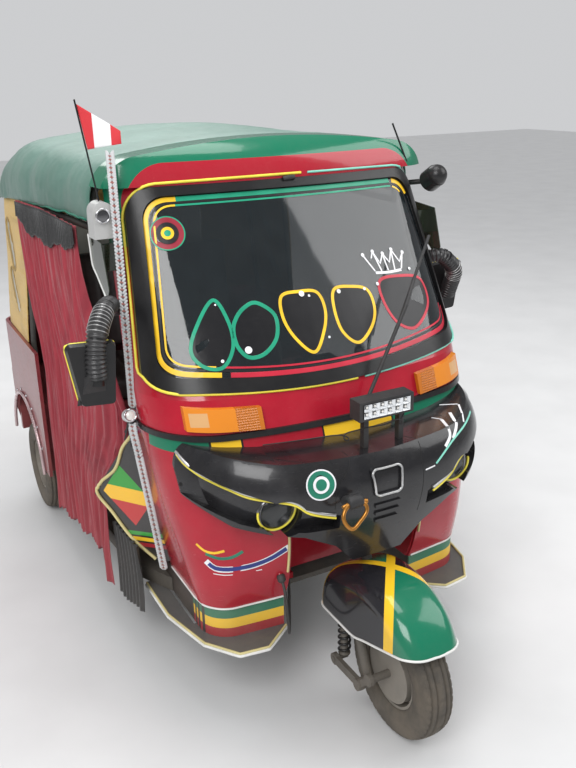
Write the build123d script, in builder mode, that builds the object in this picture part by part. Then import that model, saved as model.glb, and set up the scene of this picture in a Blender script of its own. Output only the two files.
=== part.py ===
"""Auto rickshaw: a three-wheeled taxi with a steel tub, a curved windshield and a soft hood.

Millimetres. The front faces -Y, the vehicle's right side is -X, +Z is up.
The origin lies on the ground under the middle of the vehicle.
"""
from build123d import *
from math import asin, atan2, cos, degrees, radians, sin, sqrt, tan
import os

os.makedirs("parts", exist_ok=True)

# Driving dimensions
wheelbase = 2000
front_axle_y = -1075         # the origin lies under the middle of the whole length
rear_overhang = 353          # rear axle to the bumper's outer edge
rear_track = 1150
rear_axle_y = front_axle_y + wheelbase
bumper_y = rear_axle_y + rear_overhang
sheet = 8                    # wall of the steel and glass-fibre panels
seat_gap = 0.3               # clearance of pieces that rest on each other
fit = 0.05                   # radial clearance of a running fit

# Wheels
tyre_radius = 203
tyre_width = 102
rim_radius = 112
rim_width = 70
axle_radius = 12
hub_radius = 34
drum_radius = 92
spike_circle = 58            # radius of the circle of the rear wheels' spike covers

# Cab
cowl_half_width = 566        # at the windshield's foot
cowl_foot_z = 360
windshield_foot_z = 1010
windshield_head_z = 1575
door_front_y = -440
door_head_y = -235
glass_thickness = 5
seal_width = 38
floor_z = 312
floor_thickness = 12
floor_half_width = 478
tub_half_width = 645
bumper_stand = 43            # tub to the bumper's outer edge
roof_inset = 40              # the roof is narrower than the tub on each side
tub_rear_y = bumper_y - bumper_stand
roof_half_width = tub_half_width - roof_inset
roof_rear_y = tub_rear_y - 45
roof_top_z = 1700
header_rear_y = -235
hood_thickness = 10

# Rear body
tub_front_y = rear_axle_y - 365
tub_rail_z = 845
tub_wall = 14
tub_corner = 90
arch_radius = 285
wheelhouse_z = 610
house_inner = 455

# Steering
rake = 27                    # degrees from upright
steer_ground_y = front_axle_y - 55    # where the steering axis meets the ground
guard_wall = 5
head_foot_z = 640
head_top_z = 850
head_radius = 26
column_radius = 16

axle_z = tyre_radius


def steer_y(z):
    """Where the raked steering axis passes a height."""
    return steer_ground_y + z * tan(radians(rake))


def bulge_points(half_width, front, front_radius, corner_radius):
    """Ends of a bowed front: side end, corner middle, front end and the middle of the front."""
    centre_y = front + front_radius
    corner_x = half_width - corner_radius
    corner_y = centre_y - sqrt((front_radius - corner_radius) ** 2 - corner_x ** 2)
    turn = asin(corner_x / (front_radius - corner_radius))
    half = (radians(90) + turn) / 2
    corner_mid = (corner_x + corner_radius * sin(half), corner_y - corner_radius * cos(half))
    front_end = (front_radius * sin(turn), centre_y - front_radius * cos(turn))
    return (half_width, corner_y), corner_mid, front_end, (0, front)


def bulge_face(plane, half_width, front, front_radius, corner_radius, back, flip=1):
    """A face with a bowed front, two round corners and a straight back, in a given plane."""
    side, corner, end, middle = bulge_points(half_width, front, front_radius, corner_radius)
    right = [(x, flip * y) for x, y in (side, corner, end)]
    left = [(-x, y) for x, y in right]
    with BuildSketch(plane, mode=Mode.PRIVATE) as face:
        with BuildLine():
            Polyline(left[0], (-half_width, flip * back), (half_width, flip * back), right[0])
            ThreePointArc(*right)
            ThreePointArc(right[2], (middle[0], flip * middle[1]), left[2])
            ThreePointArc(*reversed(left))
        make_face()
    return face.sketch


# Plan of the cab's skin: height, half width, front, radius of the front, radius of the corners
cowl_plan = [
    (cowl_foot_z, 475, -790, 3000, 100),
    (640, 528, -845, 1500, 200),
    (900, 560, -778, 1700, 240),
    (windshield_foot_z, cowl_half_width, -735, 1900, 250),
]
windshield_plan = [
    (windshield_foot_z, cowl_half_width, -735, 1900, 250),
    (windshield_head_z, 532, -402, 2500, 150),
]
mask_plan = [
    (515, 470, -938, 1500, 330),
    (720, 516, -988, 1300, 350),
    (848, 521, -962, 1500, 350),
    (900, 508, -905, 1500, 340),
]
crown_plan = [
    (1300, 640, -404, 2500, 200),
    (1620, 640, -398, 2500, 200),
    (1672, 640, -365, 2500, 200),
    (roof_top_z + 6, 640, -255, 2500, 200),
]
# Roof sections: place, half width, top, radius of the crown, radius of the shoulder, foot
roof_sections = [
    (-520, 548, 1676, 3000, 120, 1420),
    (header_rear_y, 578, 1698, 3000, 130, 1420),
    (250, roof_half_width, 1694, 3000, 140, 1420),
    (roof_rear_y - 90, roof_half_width, 1606, 2400, 140, 1360),
    (roof_rear_y, 596, 1545, 2200, 120, 1360),
]


def plan_loft(plan, out=0.0, back=900):
    """Solid inside a skin given by plan sections, moved out (or in, if negative)."""
    with BuildPart(mode=Mode.PRIVATE) as loft_part:
        for z, half_width, front, front_radius, corner_radius in plan:
            add(bulge_face(Plane.XY.offset(z), half_width + out, front - out, front_radius + out,
                           corner_radius + out, back))
        loft()
    return loft_part.part


def roof_loft(out=0.0, foot_drop=0.0):
    """Solid under the roof's skin, moved out (or in, if negative)."""
    with BuildPart(mode=Mode.PRIVATE) as loft_part:
        for y, half_width, top, crown, shoulder, foot in roof_sections:
            section = Plane(origin=(0, y, 0), x_dir=(1, 0, 0), z_dir=(0, -1, 0))
            add(bulge_face(section, half_width + out, -top - out, crown + out, shoulder + out,
                           -foot + foot_drop, flip=-1))
        loft()
    return loft_part.part


def box_between(low, high):
    """A box from its two corners."""
    size = [b - a for a, b in zip(low, high)]
    middle = [(a + b) / 2 for a, b in zip(low, high)]
    return Pos(*middle) * Box(*size, mode=Mode.PRIVATE)


def foot_plan(inset, back):
    """The cowl's plan at its foot, set in."""
    z, half_width, front, front_radius, corner_radius = cowl_plan[0]
    return bulge_face(Plane.XY, half_width - inset, front + inset, front_radius - inset,
                      corner_radius - inset, back)


def side_box(side, low, high):
    """A box given for the vehicle's left, put on either side."""
    x_low, x_high = sorted((side * low[0], side * high[0]))
    return box_between((x_low, low[1], low[2]), (x_high, high[1], high[2]))


def side_prism(points, x_low, x_high):
    """A prism along X over an outline of (y, z) points."""
    plane = Plane(origin=(x_low, 0, 0), x_dir=(0, 1, 0), z_dir=(1, 0, 0))
    with BuildPart(mode=Mode.PRIVATE) as prism:
        with BuildSketch(plane):
            with BuildLine():
                Polyline(*points, close=True)
            make_face()
        extrude(amount=x_high - x_low)
    return prism.part


def front_prism(points, y_low, y_high):
    """A prism along Y over an outline of (x, z) points."""
    plane = Plane(origin=(0, y_high, 0), x_dir=(1, 0, 0), z_dir=(0, -1, 0))
    with BuildPart(mode=Mode.PRIVATE) as prism:
        with BuildSketch(plane):
            with BuildLine():
                Polyline(*points, close=True)
            make_face()
        extrude(amount=y_high - y_low)
    return prism.part


def save(piece, name):
    """Label a piece and write it."""
    piece.label = name
    export_step(piece, f"parts/{name}.step")


def tube(points, radius, bend):
    """A round bar along straight runs joined by arcs."""
    with BuildPart(mode=Mode.PRIVATE) as bar:
        with BuildLine() as path:
            if len(points) > 2:
                FilletPolyline(*points, radius=bend)
            else:
                Line(*points)
        with BuildSketch(Plane(origin=path.line @ 0, z_dir=path.line % 0)):
            Circle(radius)
        sweep()
    return bar.part


axis_plane = Plane(origin=(0, steer_y(0), 0), x_dir=(1, 0, 0),
                   z_dir=(0, sin(radians(rake)), cos(radians(rake))))


def along(z):
    """Distance along the steering axis from the ground to a height."""
    return z / cos(radians(rake))


def axis_cylinder(radius, z_low, z_high):
    """A cylinder on the steering axis between two heights of its axis."""
    with BuildPart(mode=Mode.PRIVATE) as bar:
        with BuildSketch(axis_plane.offset(along(z_low))):
            Circle(radius)
        extrude(amount=along(z_high) - along(z_low))
    return bar.part


# Windshield opening, drawn in the plane of its four corners
pane_foot = (556, -545, 1010)        # outer corner of the seal at the foot
pane_head = (500, -320, 1564)        # and at the head
pane_rise = sqrt((pane_head[1] - pane_foot[1]) ** 2 + (pane_head[2] - pane_foot[2]) ** 2)
pane_plane = Plane(
    origin=(0, pane_foot[1], pane_foot[2]),
    x_dir=(1, 0, 0),
    z_dir=(0, -(pane_head[2] - pane_foot[2]) / pane_rise, (pane_head[1] - pane_foot[1]) / pane_rise),
)
pane_corner = 85


def pane_prism(inset):
    """Prism through the windshield, its outline set in from the seal's outer edge."""
    foot_half = pane_foot[0] - inset
    head_half = pane_head[0] - inset
    head_v = pane_rise - inset
    with BuildPart(mode=Mode.PRIVATE) as prism:
        with BuildSketch(pane_plane.offset(-300)) as outline:
            with BuildLine():
                ThreePointArc((-foot_half, inset), (0, -71 + inset), (foot_half, inset))
                Line((foot_half, inset), (head_half, head_v))
                ThreePointArc((head_half, head_v), (0, head_v - 14), (-head_half, head_v))
                Line((-head_half, head_v), (-foot_half, inset))
            make_face()
            fillet(outline.vertices(), pane_corner - inset * 0.5)
        extrude(amount=700)
    return prism.part


cowl_skin = plan_loft(cowl_plan)
cowl_inside = plan_loft(cowl_plan, -sheet - seat_gap)
upper_skin = plan_loft(windshield_plan)

# Armoured cable: out of its gland on the cowl, down in a loop and up to a clip in the wheel well
cable_radius = 4.5
cable_route = [(-262, -822, 452), (-263, -842, 430), (-262, -852, 385), (-258, -850, 335), (-250, -838, 285),
               (-236, -812, 242), (-214, -772, 222), (-190, -728, 230), (-172, -695, 262), (-164, -680, 308),
               (-160, -672, 345)]


def route_radii(route):
    """The arc that each corner of a free cord gets."""
    points = [Vector(*p) for p in route]
    radii = []
    for before, corner, after in zip(points, points[1:], points[2:]):
        run_in, run_out = corner - before, after - corner
        half_turn = radians(run_in.get_angle(run_out)) / 2
        radii.append(0.45 * min(run_in.length, run_out.length) / tan(half_turn))
    return radii


cable_radii = route_radii(cable_route)
print("cable radii", [round(r) for r in cable_radii])
cable = tube(cable_route, cable_radius, cable_radii)
save(cable, "cable_loop")

# Waist strip round the cowl, above the mask
strip_z = 908
strip_height = 16
strip_stand = 7
with BuildPart() as waist_ring:
    add(plan_loft(cowl_plan, strip_stand))
    add(plan_loft(cowl_plan, -1), mode=Mode.SUBTRACT)
    add(box_between((-700, -1100, strip_z - strip_height / 2),
                    (700, door_front_y, strip_z + strip_height / 2)),
        mode=Mode.INTERSECT)

# Front cowl: the painted nose under the windshield, open for the front wheel
well_half_width = 232
well_rear_y = -640
well_roof_z = 640
with BuildPart() as front_cowl:
    add(cowl_skin)
    add(plan_loft(cowl_plan, -sheet), mode=Mode.SUBTRACT)
    add(box_between((-700, door_front_y, 300), (700, 1000, 1100)), mode=Mode.SUBTRACT)
    add(box_between((-well_half_width, -1100, 300), (well_half_width, well_rear_y, well_roof_z)),
        mode=Mode.SUBTRACT)
    with BuildPart(mode=Mode.PRIVATE) as gland:
        add(tube([(-262, -780, 498), (-262, -822 + 0.1, 452 + 0.1)], 8, 0))
        add(plan_loft(cowl_plan, -sheet), mode=Mode.SUBTRACT)
    add(gland.part)
    add(waist_ring.part)
    add(cable, mode=Mode.SUBTRACT)
save(front_cowl.part, "front_cowl")

# Wheel well: the liner between the front wheel and the driver's feet
well_wall = 6
with BuildPart() as wheel_well:
    add(box_between((-well_half_width, -900, floor_z), (well_half_width, well_rear_y, well_roof_z)))
    add(box_between((-well_half_width + well_wall, -1000, floor_z - 20),
                    (well_half_width - well_wall, well_rear_y - well_wall, well_roof_z - well_wall)),
        mode=Mode.SUBTRACT)
    add(cowl_inside, mode=Mode.INTERSECT)
    add(box_between((-170, -682, 345), (-150, well_rear_y - well_wall + 1, 365)))
    add(axis_cylinder(column_radius + 6, well_roof_z - 60, well_roof_z + 60), mode=Mode.SUBTRACT)
    with BuildPart(mode=Mode.PRIVATE) as steering_head:
        add(axis_cylinder(head_radius, head_foot_z - 30, head_top_z))
        add(box_between((-46, steer_y(head_foot_z) - 30, head_foot_z - 2),
                        (46, well_rear_y - 8, head_foot_z + 40)))
        add(box_between((-400, -1100, 500), (400, 0, head_foot_z - 2)), mode=Mode.SUBTRACT)
        add(cowl_inside, mode=Mode.INTERSECT)
    add(steering_head.part)
    add(axis_cylinder(column_radius + fit, head_foot_z - 60, head_top_z + 40), mode=Mode.SUBTRACT)
    add(cable, mode=Mode.SUBTRACT)
save(wheel_well.part, "wheel_well")

# Windshield frame with the two slanting posts
with BuildPart() as windshield_frame:
    add(upper_skin)
    add(plan_loft(windshield_plan, -26), mode=Mode.SUBTRACT)
    add(side_prism([(door_front_y, 900), (door_front_y, windshield_foot_z), (door_head_y, windshield_head_z),
                    (door_head_y, 1700), (1000, 1700), (1000, 900)], -800, 800), mode=Mode.SUBTRACT)
    add(pane_prism(0), mode=Mode.SUBTRACT)
save(windshield_frame.part, "windshield_frame")

with BuildPart() as windshield_seal:
    add(plan_loft(windshield_plan, 9))
    add(plan_loft(windshield_plan, -14), mode=Mode.SUBTRACT)
    add(pane_prism(0), mode=Mode.INTERSECT)
    add(pane_prism(seal_width), mode=Mode.SUBTRACT)
save(windshield_seal.part, "windshield_seal")

with BuildPart() as windshield_glass:
    add(plan_loft(windshield_plan, -3))
    add(plan_loft(windshield_plan, -3 - glass_thickness), mode=Mode.SUBTRACT)
    add(pane_prism(seal_width), mode=Mode.INTERSECT)
save(windshield_glass.part, "windshield_glass")

# Black mask with the lamp recesses, the badge frame and three ribs
mask_outline = [
    (0, 864), (-300, 872), (-526, 897), (-522, 846), (-512, 745), (-425, 690), (-250, 655), (-150, 600),
    (-85, 528), (85, 528), (150, 600), (250, 655), (425, 690), (512, 745), (522, 846), (526, 897), (300, 872),
]
brow_outline = [(-540, 860), (-450, 818), (-386, 796), (-267, 754), (-150, 712), (-150, 668),
                (-250, 672), (-410, 704), (-540, 760)]
recess_depth = 34
recess_floor = 5             # the recess keeps this much of the mask over the cowl
badge_outline = [(-54, 42), (54, 42), (46, -40), (-46, -40)]
badge_rim = 8
lamp_x = 304
lamp_z = 722
lamp_radius = 58
lamp_front_y = -888


def mask_recess(side):
    """The space under the brow on one side of the mask."""
    with BuildPart(mode=Mode.PRIVATE) as recess:
        add(front_prism([(-side * x, z) for x, z in brow_outline], -1100, -560))
        add(plan_loft(mask_plan, -recess_depth), mode=Mode.SUBTRACT)
        add(plan_loft(cowl_plan, recess_floor), mode=Mode.SUBTRACT)
    return recess.part


with BuildPart() as front_mask:
    add(plan_loft(mask_plan))
    add(plan_loft(cowl_plan, seat_gap), mode=Mode.SUBTRACT)
    add(front_prism(mask_outline, -1100, -560), mode=Mode.INTERSECT)
    for side in (-1, 1):
        add(mask_recess(side), mode=Mode.SUBTRACT)
        with Locations(Location((side * lamp_x, lamp_front_y - 40, lamp_z), (90, 0, 0))):
            Cylinder(lamp_radius, 220, mode=Mode.SUBTRACT)
    add(box_between((-well_half_width, -890, 500), (well_half_width, -500, 640)), mode=Mode.SUBTRACT)
    with BuildPart(mode=Mode.PRIVATE) as badge:
        with BuildSketch(Plane(origin=(0, -960, 788), x_dir=(1, 0, 0), z_dir=(0, -1, 0))) as badge_face:
            with BuildLine():
                Polyline(*badge_outline, close=True)
            make_face()
            fillet(badge_face.vertices(), 7)
            offset(amount=-badge_rim, mode=Mode.SUBTRACT)
        extrude(amount=60)
        add(plan_loft(mask_plan, 7), mode=Mode.INTERSECT)
    add(badge.part)
    with BuildPart(mode=Mode.PRIVATE) as ribs:
        for z, half_width in ((716, 43), (690, 41), (664, 38)):
            add(box_between((-half_width, -1040, z - 5), (half_width, -930, z + 5)))
        add(plan_loft(mask_plan, 6), mode=Mode.INTERSECT)
    add(ribs.part)
save(front_mask.part, "front_mask")

# Headlamps: a bowl with a domed lens in each recess
with BuildPart() as headlamps:
    for side in (-1, 1):
        with Locations(Location((side * lamp_x, lamp_front_y + 20, lamp_z), (90, 0, 0))):
            Cylinder(lamp_radius - seat_gap, 36)
save(headlamps.part, "headlamps")

# Turn lamps on the cowl under the windshield
turn_lamp_outline = [(-482, 996), (-272, 983), (-272, 922), (-482, 932)]
with BuildPart() as turn_lamps:
    for side in (-1, 1):
        add(front_prism([(-side * x, z) for x, z in turn_lamp_outline], -1000, -500))
    add(plan_loft(cowl_plan, 16), mode=Mode.INTERSECT)
    add(cowl_skin, mode=Mode.SUBTRACT)
save(turn_lamps.part, "turn_lamps")

# Lamp bar on its bracket above the mask
bar_x = 34
bar_y = -905
bar_z = 982
with BuildPart() as lamp_bar:
    add(box_between((bar_x - 92, bar_y - 22, bar_z - 29), (bar_x + 92, bar_y + 30, bar_z + 29)))
    for k in range(6):
        add(box_between((bar_x - 86, bar_y + 14, bar_z - 26 + 9 * k),
                        (bar_x + 86, bar_y + 40, bar_z - 22 + 9 * k)),
            mode=Mode.SUBTRACT)
    add(box_between((bar_x - 80, bar_y - 30, bar_z - 22), (bar_x + 80, bar_y - 18, bar_z + 22)),
        mode=Mode.SUBTRACT)
    for side in (-1, 1):
        add(box_between((bar_x + side * 60 - 8, bar_y - 8, 800),
                        (bar_x + side * 60 + 8, bar_y + 12, bar_z)))
    add(Pos(0, 0, seat_gap) * front_mask.part, mode=Mode.SUBTRACT)
save(lamp_bar.part, "lamp_bar")

# Tow eye on its block
tow_x = -138
tow_z = 706
with BuildPart() as tow_eye:
    with Locations((tow_x, -1000, tow_z)):
        Box(44, 70, 34)
    add(plan_loft(mask_plan, seat_gap), mode=Mode.SUBTRACT)
    with Locations(Location((tow_x, -1030, tow_z - 24), (70, 0, 0))):
        Box(56, 62, 12)
        Box(36, 40, 12, mode=Mode.SUBTRACT)
save(tow_eye.part, "tow_eye")

# Roof: a rigid header in front and a soft hood behind it
crown = plan_loft(crown_plan, 0, 1600)
with BuildPart() as roof_outer:
    add(roof_loft())
    add(crown, mode=Mode.INTERSECT)
with BuildPart() as roof_inner:
    add(roof_loft(-hood_thickness, 20))
    add(plan_loft(crown_plan, -hood_thickness, 1600), mode=Mode.INTERSECT)
    add(box_between((-800, -700, 1300), (800, roof_rear_y - hood_thickness, 1800)), mode=Mode.INTERSECT)
with BuildPart() as roof_header:
    add(roof_outer.part)
    add(roof_inner.part, mode=Mode.SUBTRACT)
    add(box_between((-700, -600, windshield_head_z + seat_gap), (700, header_rear_y, 1800)), mode=Mode.INTERSECT)
save(roof_header.part, "roof_header")

with BuildPart() as roof_hood:
    add(roof_outer.part)
    add(roof_inner.part, mode=Mode.SUBTRACT)
    add(side_prism([(header_rear_y + seat_gap, 1468), (200, 1460), (rear_axle_y - 205, 1432), (roof_rear_y + 10, 1388),
                    (roof_rear_y + 10, 1800), (header_rear_y + seat_gap, 1800)], -700, 700), mode=Mode.INTERSECT)
save(roof_hood.part, "roof_hood")

# Tube frame that carries the hood
hoop_radius = 11
hoop_inset = hood_thickness + hoop_radius + 2
rail_z = 1440
rail_x = roof_half_width - hoop_inset - 3
hoop_crown = 75
leg_foot_x = tub_half_width - 33      # the hoops' legs stand inside the tub's walls
last_hoop_y = roof_rear_y - 95
third_hoop_y = rear_axle_y - 205
# Hoops: place, half width, top, foot
hoops = [
    (header_rear_y + 40, rail_x - 26, 1670, rail_z),
    (250, rail_x, 1668, rail_z),
    (third_hoop_y, rail_x - 8, 1634, 1425),
    (last_hoop_y, rail_x - 14, 1566, 1380),
]
with BuildPart() as roof_frame:
    for y, x, top, foot in hoops:
        add(tube([(-x, y, foot), (-x, y, top - hoop_crown), (0, y, top), (x, y, top - hoop_crown),
                  (x, y, foot)], hoop_radius, [90, 1500, 90]))
    for side in (-1, 1):
        for start, end in zip(hoops, hoops[1:]):
            add(tube([(side * start[1], start[0], start[3]), (side * end[1], end[0], end[3])], hoop_radius, 0))
        for y, x, top, foot in hoops[2:]:
            add(tube([(side * x, y, foot), (side * leg_foot_x, y, tub_rail_z), (side * leg_foot_x, y, 740)],
                     hoop_radius, 60))
            add(side_box(side, (leg_foot_x - 4, y - 12, 750),
                         (tub_half_width - tub_wall - seat_gap, y + 12, 790)))
save(roof_frame.part, "roof_frame")

# Rear quarters and back of golden canvas, with windows
quarter_plan = [
    (tub_rail_z, tub_half_width - 14, -(tub_rear_y - 16), 6000, tub_corner),
    (1440, roof_half_width - hood_thickness - 4, -(roof_rear_y - 14), 6000, tub_corner),
]
quarter_front_y = rear_axle_y - 190
quarter_outline = [(quarter_front_y, tub_rail_z), (quarter_front_y - 30, 1439), (quarter_front_y, 1437),
                   (last_hoop_y, 1404), (roof_rear_y + 10, 1394), (tub_rear_y, 1394), (tub_rear_y, tub_rail_z)]
window_rows = [                       # side windows: two slanting slots, foot and head as (y, z), radius
    [(rear_axle_y - 30, 970), (rear_axle_y + 55, 1085), 28],
    [(rear_axle_y, 1150), (rear_axle_y + 95, 1290), 28],
]


def quarter_loft(out):
    """Solid inside the canvas quarters."""
    with BuildPart(mode=Mode.PRIVATE) as loft_part:
        for z, half_width, front, front_radius, corner_radius in quarter_plan:
            add(bulge_face(Plane.XY.offset(z), half_width + out, front - out, front_radius + out,
                           corner_radius + out, 100, flip=-1))
        loft()
    return loft_part.part


def slot_prism(foot, head, radius, x_low, x_high):
    """A prism along X over a slanting slot with round ends."""
    plane = Plane(origin=(x_low, 0, 0), x_dir=(0, 1, 0), z_dir=(1, 0, 0))
    length = sqrt((head[0] - foot[0]) ** 2 + (head[1] - foot[1]) ** 2) + 2 * radius
    slant = degrees(atan2(head[1] - foot[1], head[0] - foot[0]))
    with BuildPart(mode=Mode.PRIVATE) as prism:
        with BuildSketch(plane):
            with Locations(((foot[0] + head[0]) / 2, (foot[1] + head[1]) / 2)):
                SlotOverall(length, 2 * radius, rotation=slant)
        extrude(amount=x_high - x_low)
    return prism.part


def quarter_openings(grow=0.0):
    """All window openings of the canvas."""
    with BuildPart(mode=Mode.PRIVATE) as openings:
        for foot, head, radius in window_rows:
            add(slot_prism(foot, head, radius + grow, -800, 800))
        plane = Plane(origin=(0, tub_rear_y - 235, 0), x_dir=(1, 0, 0), z_dir=(0, 1, 0))
        with BuildSketch(plane):
            with Locations((0, -1150)):
                RectangleRounded(700 + 2 * grow, 300 + 2 * grow, 60)
        extrude(amount=500)
    return openings.part


canvas_thickness = 5
with BuildPart() as quarter_canvas:
    add(quarter_loft(0))
    add(quarter_loft(-canvas_thickness), mode=Mode.SUBTRACT)
    add(side_prism(quarter_outline, -800, 800), mode=Mode.INTERSECT)
    add(quarter_openings(), mode=Mode.SUBTRACT)
save(quarter_canvas.part, "quarter_canvas")

with BuildPart() as quarter_windows:
    add(quarter_loft(-1.5))
    add(quarter_loft(-3.5), mode=Mode.SUBTRACT)
    add(side_prism(quarter_outline, -800, 800), mode=Mode.INTERSECT)
    add(quarter_openings(-0.2), mode=Mode.INTERSECT)
save(quarter_windows.part, "quarter_windows")

engine_half_width = 190
engine_front_y = rear_axle_y - 185
engine_rear_y = rear_axle_y + 205

# Chassis: the floor pan on two rails and cross members
rail_gap = 300
with BuildPart() as chassis:
    with BuildSketch(Plane.XY.offset(floor_z - floor_thickness)):
        add(foot_plan(8, -300))
        with Locations((0, (tub_rear_y - 60 - 310) / 2)):
            Rectangle(2 * floor_half_width, tub_rear_y - 60 + 310)
        with Locations((0, well_rear_y - 500)):
            Rectangle(2 * (well_half_width + seat_gap), 1000, mode=Mode.SUBTRACT)
    extrude(amount=floor_thickness)
    for side in (-1, 1):
        add(box_between((side * rail_gap - 25, well_rear_y + seat_gap, 240),
                        (side * rail_gap + 25, tub_rear_y - 85, floor_z - floor_thickness)))
        # The doorstep outside the floor
        with BuildSketch(Plane.XY.offset(262)):
            with BuildLine():
                Polyline((side * (floor_half_width - 2), door_front_y), (side * (tub_half_width - 100), -300),
                         (side * (tub_half_width - 45), tub_front_y - seat_gap),
                         (side * (floor_half_width - 2), tub_front_y - seat_gap), close=True)
            make_face()
        extrude(amount=50)
    for y in (-560, -100, tub_front_y - 140):
        add(box_between((-rail_gap, y - 20, 250), (rail_gap, y + 20, floor_z - floor_thickness)))
    for side in (-1, 1):
        add(side_box(side, (372, rear_axle_y - 310, 200), (tub_half_width + 55, tub_rear_y + 165, 400)),
            mode=Mode.SUBTRACT)
    add(box_between((-engine_half_width - 5, engine_front_y - 5, 200),
                    (engine_half_width + 5, engine_rear_y + 5, 400)), mode=Mode.SUBTRACT)
save(chassis.part, "chassis")

# Rear tub with its wheelhouses and bench box
with BuildPart() as rear_tub:
    with BuildSketch(Plane.XY.offset(300)):
        with Locations((0, (tub_front_y + tub_rear_y) / 2)):
            Rectangle(2 * tub_half_width, tub_rear_y - tub_front_y)
    extrude(amount=tub_rail_z - 300)
    fillet(rear_tub.edges().filter_by(Axis.Z).group_by(Axis.Y)[-1], tub_corner)
    with BuildPart(mode=Mode.SUBTRACT) as tub_inside:
        with BuildSketch(Plane.XY.offset(200)):
            with Locations((0, (tub_front_y + tub_rear_y) / 2 - 200)):
                Rectangle(2 * (tub_half_width - tub_wall), tub_rear_y - tub_front_y - 2 * tub_wall + 400)
        extrude(amount=1000)
        fillet(tub_inside.edges().filter_by(Axis.Z).group_by(Axis.Y)[-1], tub_corner - tub_wall)
    for side in (-1, 1):
        add(side_box(side, (house_inner, rear_axle_y - 310, 300),
                     (tub_half_width - 2, tub_rear_y - 60, wheelhouse_z)))
        add(side_box(side, (house_inner + 10, rear_axle_y - 298, 200),
                     (tub_half_width - tub_wall, tub_rear_y - 72, wheelhouse_z - 10)), mode=Mode.SUBTRACT)
        with Locations(Location((side * tub_half_width, rear_axle_y, axle_z + 60), (0, 90, 0))):
            Cylinder(arch_radius, 2 * tub_wall + 2, mode=Mode.SUBTRACT)
save(rear_tub.part, "rear_tub")

# Rear bumper bar with the plate carrier, and the tail lamps
with BuildPart() as rear_bumper:
    add(tube([(-560, tub_rear_y + 16, 400), (-520, bumper_y - 14, 400), (520, bumper_y - 14, 400),
              (560, tub_rear_y + 16, 400)], 14, 28))
    for side in (-1, 1):
        add(side_box(side, (330, tub_rear_y + seat_gap, 380), (380, bumper_y - 20, 420)))
    add(box_between((-150, tub_rear_y + seat_gap, 560), (150, tub_rear_y + 12, 700)))
    for x in (-1, 1):
        for z in (-1, 1):
            with Locations(Location((x * 110, tub_rear_y + 6, 630 + z * 40), (90, 0, 0))):
                Cylinder(3.5, 30, mode=Mode.SUBTRACT)
save(rear_bumper.part, "rear_bumper")

with BuildPart() as tail_lamps:
    for side in (-1, 1):
        add(side_box(side, (420, tub_rear_y + seat_gap, 600), (520, tub_rear_y + 34, 760)))
    fillet(tail_lamps.edges().filter_by(Axis.Y), 18)
save(tail_lamps.part, "tail_lamps")

# Seats
seat_half_width = 440
bench_front_y = tub_front_y + 40
bench_rear_y = bench_front_y + 520
bench_z = 560
with BuildPart() as seat_boxes:
    add(box_between((-seat_half_width, bench_front_y, floor_z), (seat_half_width, bench_front_y + 14, bench_z)))
    add(box_between((-seat_half_width, bench_front_y + 14, bench_z - 14), (seat_half_width, bench_rear_y, bench_z)))
    add(box_between((-230, -330, floor_z), (230, 30, 520)))
    add(box_between((-216, -316, floor_z - 1), (216, 16, 506)), mode=Mode.SUBTRACT)
save(seat_boxes.part, "seat_boxes")

with BuildPart() as driver_seat:
    add(box_between((-240, -340, 520 + seat_gap), (240, 40, 600)))
    fillet(driver_seat.edges().filter_by(Axis.Z), 60)
    with BuildSketch(Plane.YZ.offset(-210)):
        with BuildLine():
            Polyline((-20, 560), (40, 560), (90, 900), (50, 900), close=True)
        make_face()
    extrude(amount=420)
save(driver_seat.part, "driver_seat")

with BuildPart() as passenger_seat:
    add(box_between((-seat_half_width, bench_front_y - 20, bench_z + seat_gap),
                    (seat_half_width, bench_rear_y - 40, bench_z + 110)))
    fillet(passenger_seat.edges().filter_by(Axis.X), 35)
    with BuildSketch(Plane.YZ.offset(-seat_half_width)):
        with BuildLine():
            Polyline((bench_rear_y - 110, bench_z + 60), (bench_rear_y - 15, bench_z + 60),
                     (bench_rear_y + 45, 1120), (bench_rear_y - 25, 1120), close=True)
        make_face()
    extrude(amount=2 * seat_half_width)
save(passenger_seat.part, "passenger_seat")

# Dashboard behind the windshield
with BuildPart() as dashboard:
    add(cowl_inside)
    add(box_between((-520, -800, 860), (520, -640, 955)), mode=Mode.INTERSECT)
    add(box_between((-80, -800, 800), (80, -580, 1010)), mode=Mode.SUBTRACT)
save(dashboard.part, "dashboard")

# Engine under the bench, and the two trailing arms with their springs
with BuildPart() as engine_block:
    add(box_between((-engine_half_width, engine_front_y, 185),
                    (engine_half_width, engine_rear_y, bench_z - 14 - seat_gap)))
save(engine_block.part, "engine_block")

arm_pivot_y = rear_axle_y - 325
arm_pivot_z = 240 - 16 - seat_gap
hub_inner_x = rear_track / 2 - 75
spring_x = 412
spring_foot_y = rear_axle_y - 125


def coil_profile(foot, top, radius, wire, turns):
    """Half outline of a coil spring drawn as closed rings: (radius, height) points."""
    pitch = (top - foot) / turns
    points = [(radius - wire * 1.5, foot)]
    for k in range(turns):
        points += [(radius - wire, foot + pitch * k), (radius, foot + pitch * (k + 0.3)),
                   (radius, foot + pitch * (k + 0.6)), (radius - wire, foot + pitch * (k + 0.9))]
    points += [(radius - wire, top), (radius - wire * 1.5, top)]
    return points


def spring_unit(x, y, foot, top, radius, wire, turns):
    """A damper inside a coil spring, upright, as one solid."""
    with BuildPart(mode=Mode.PRIVATE) as unit:
        with BuildSketch(Plane(origin=(x, y, 0), x_dir=(1, 0, 0), z_dir=(0, -1, 0))):
            with BuildLine():
                Polyline((0, foot), *coil_profile(foot, top, radius, wire, turns), (0, top), close=True)
            make_face()
        revolve(axis=Axis((x, y, 0), (0, 0, 1)))
    return unit.part


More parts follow.
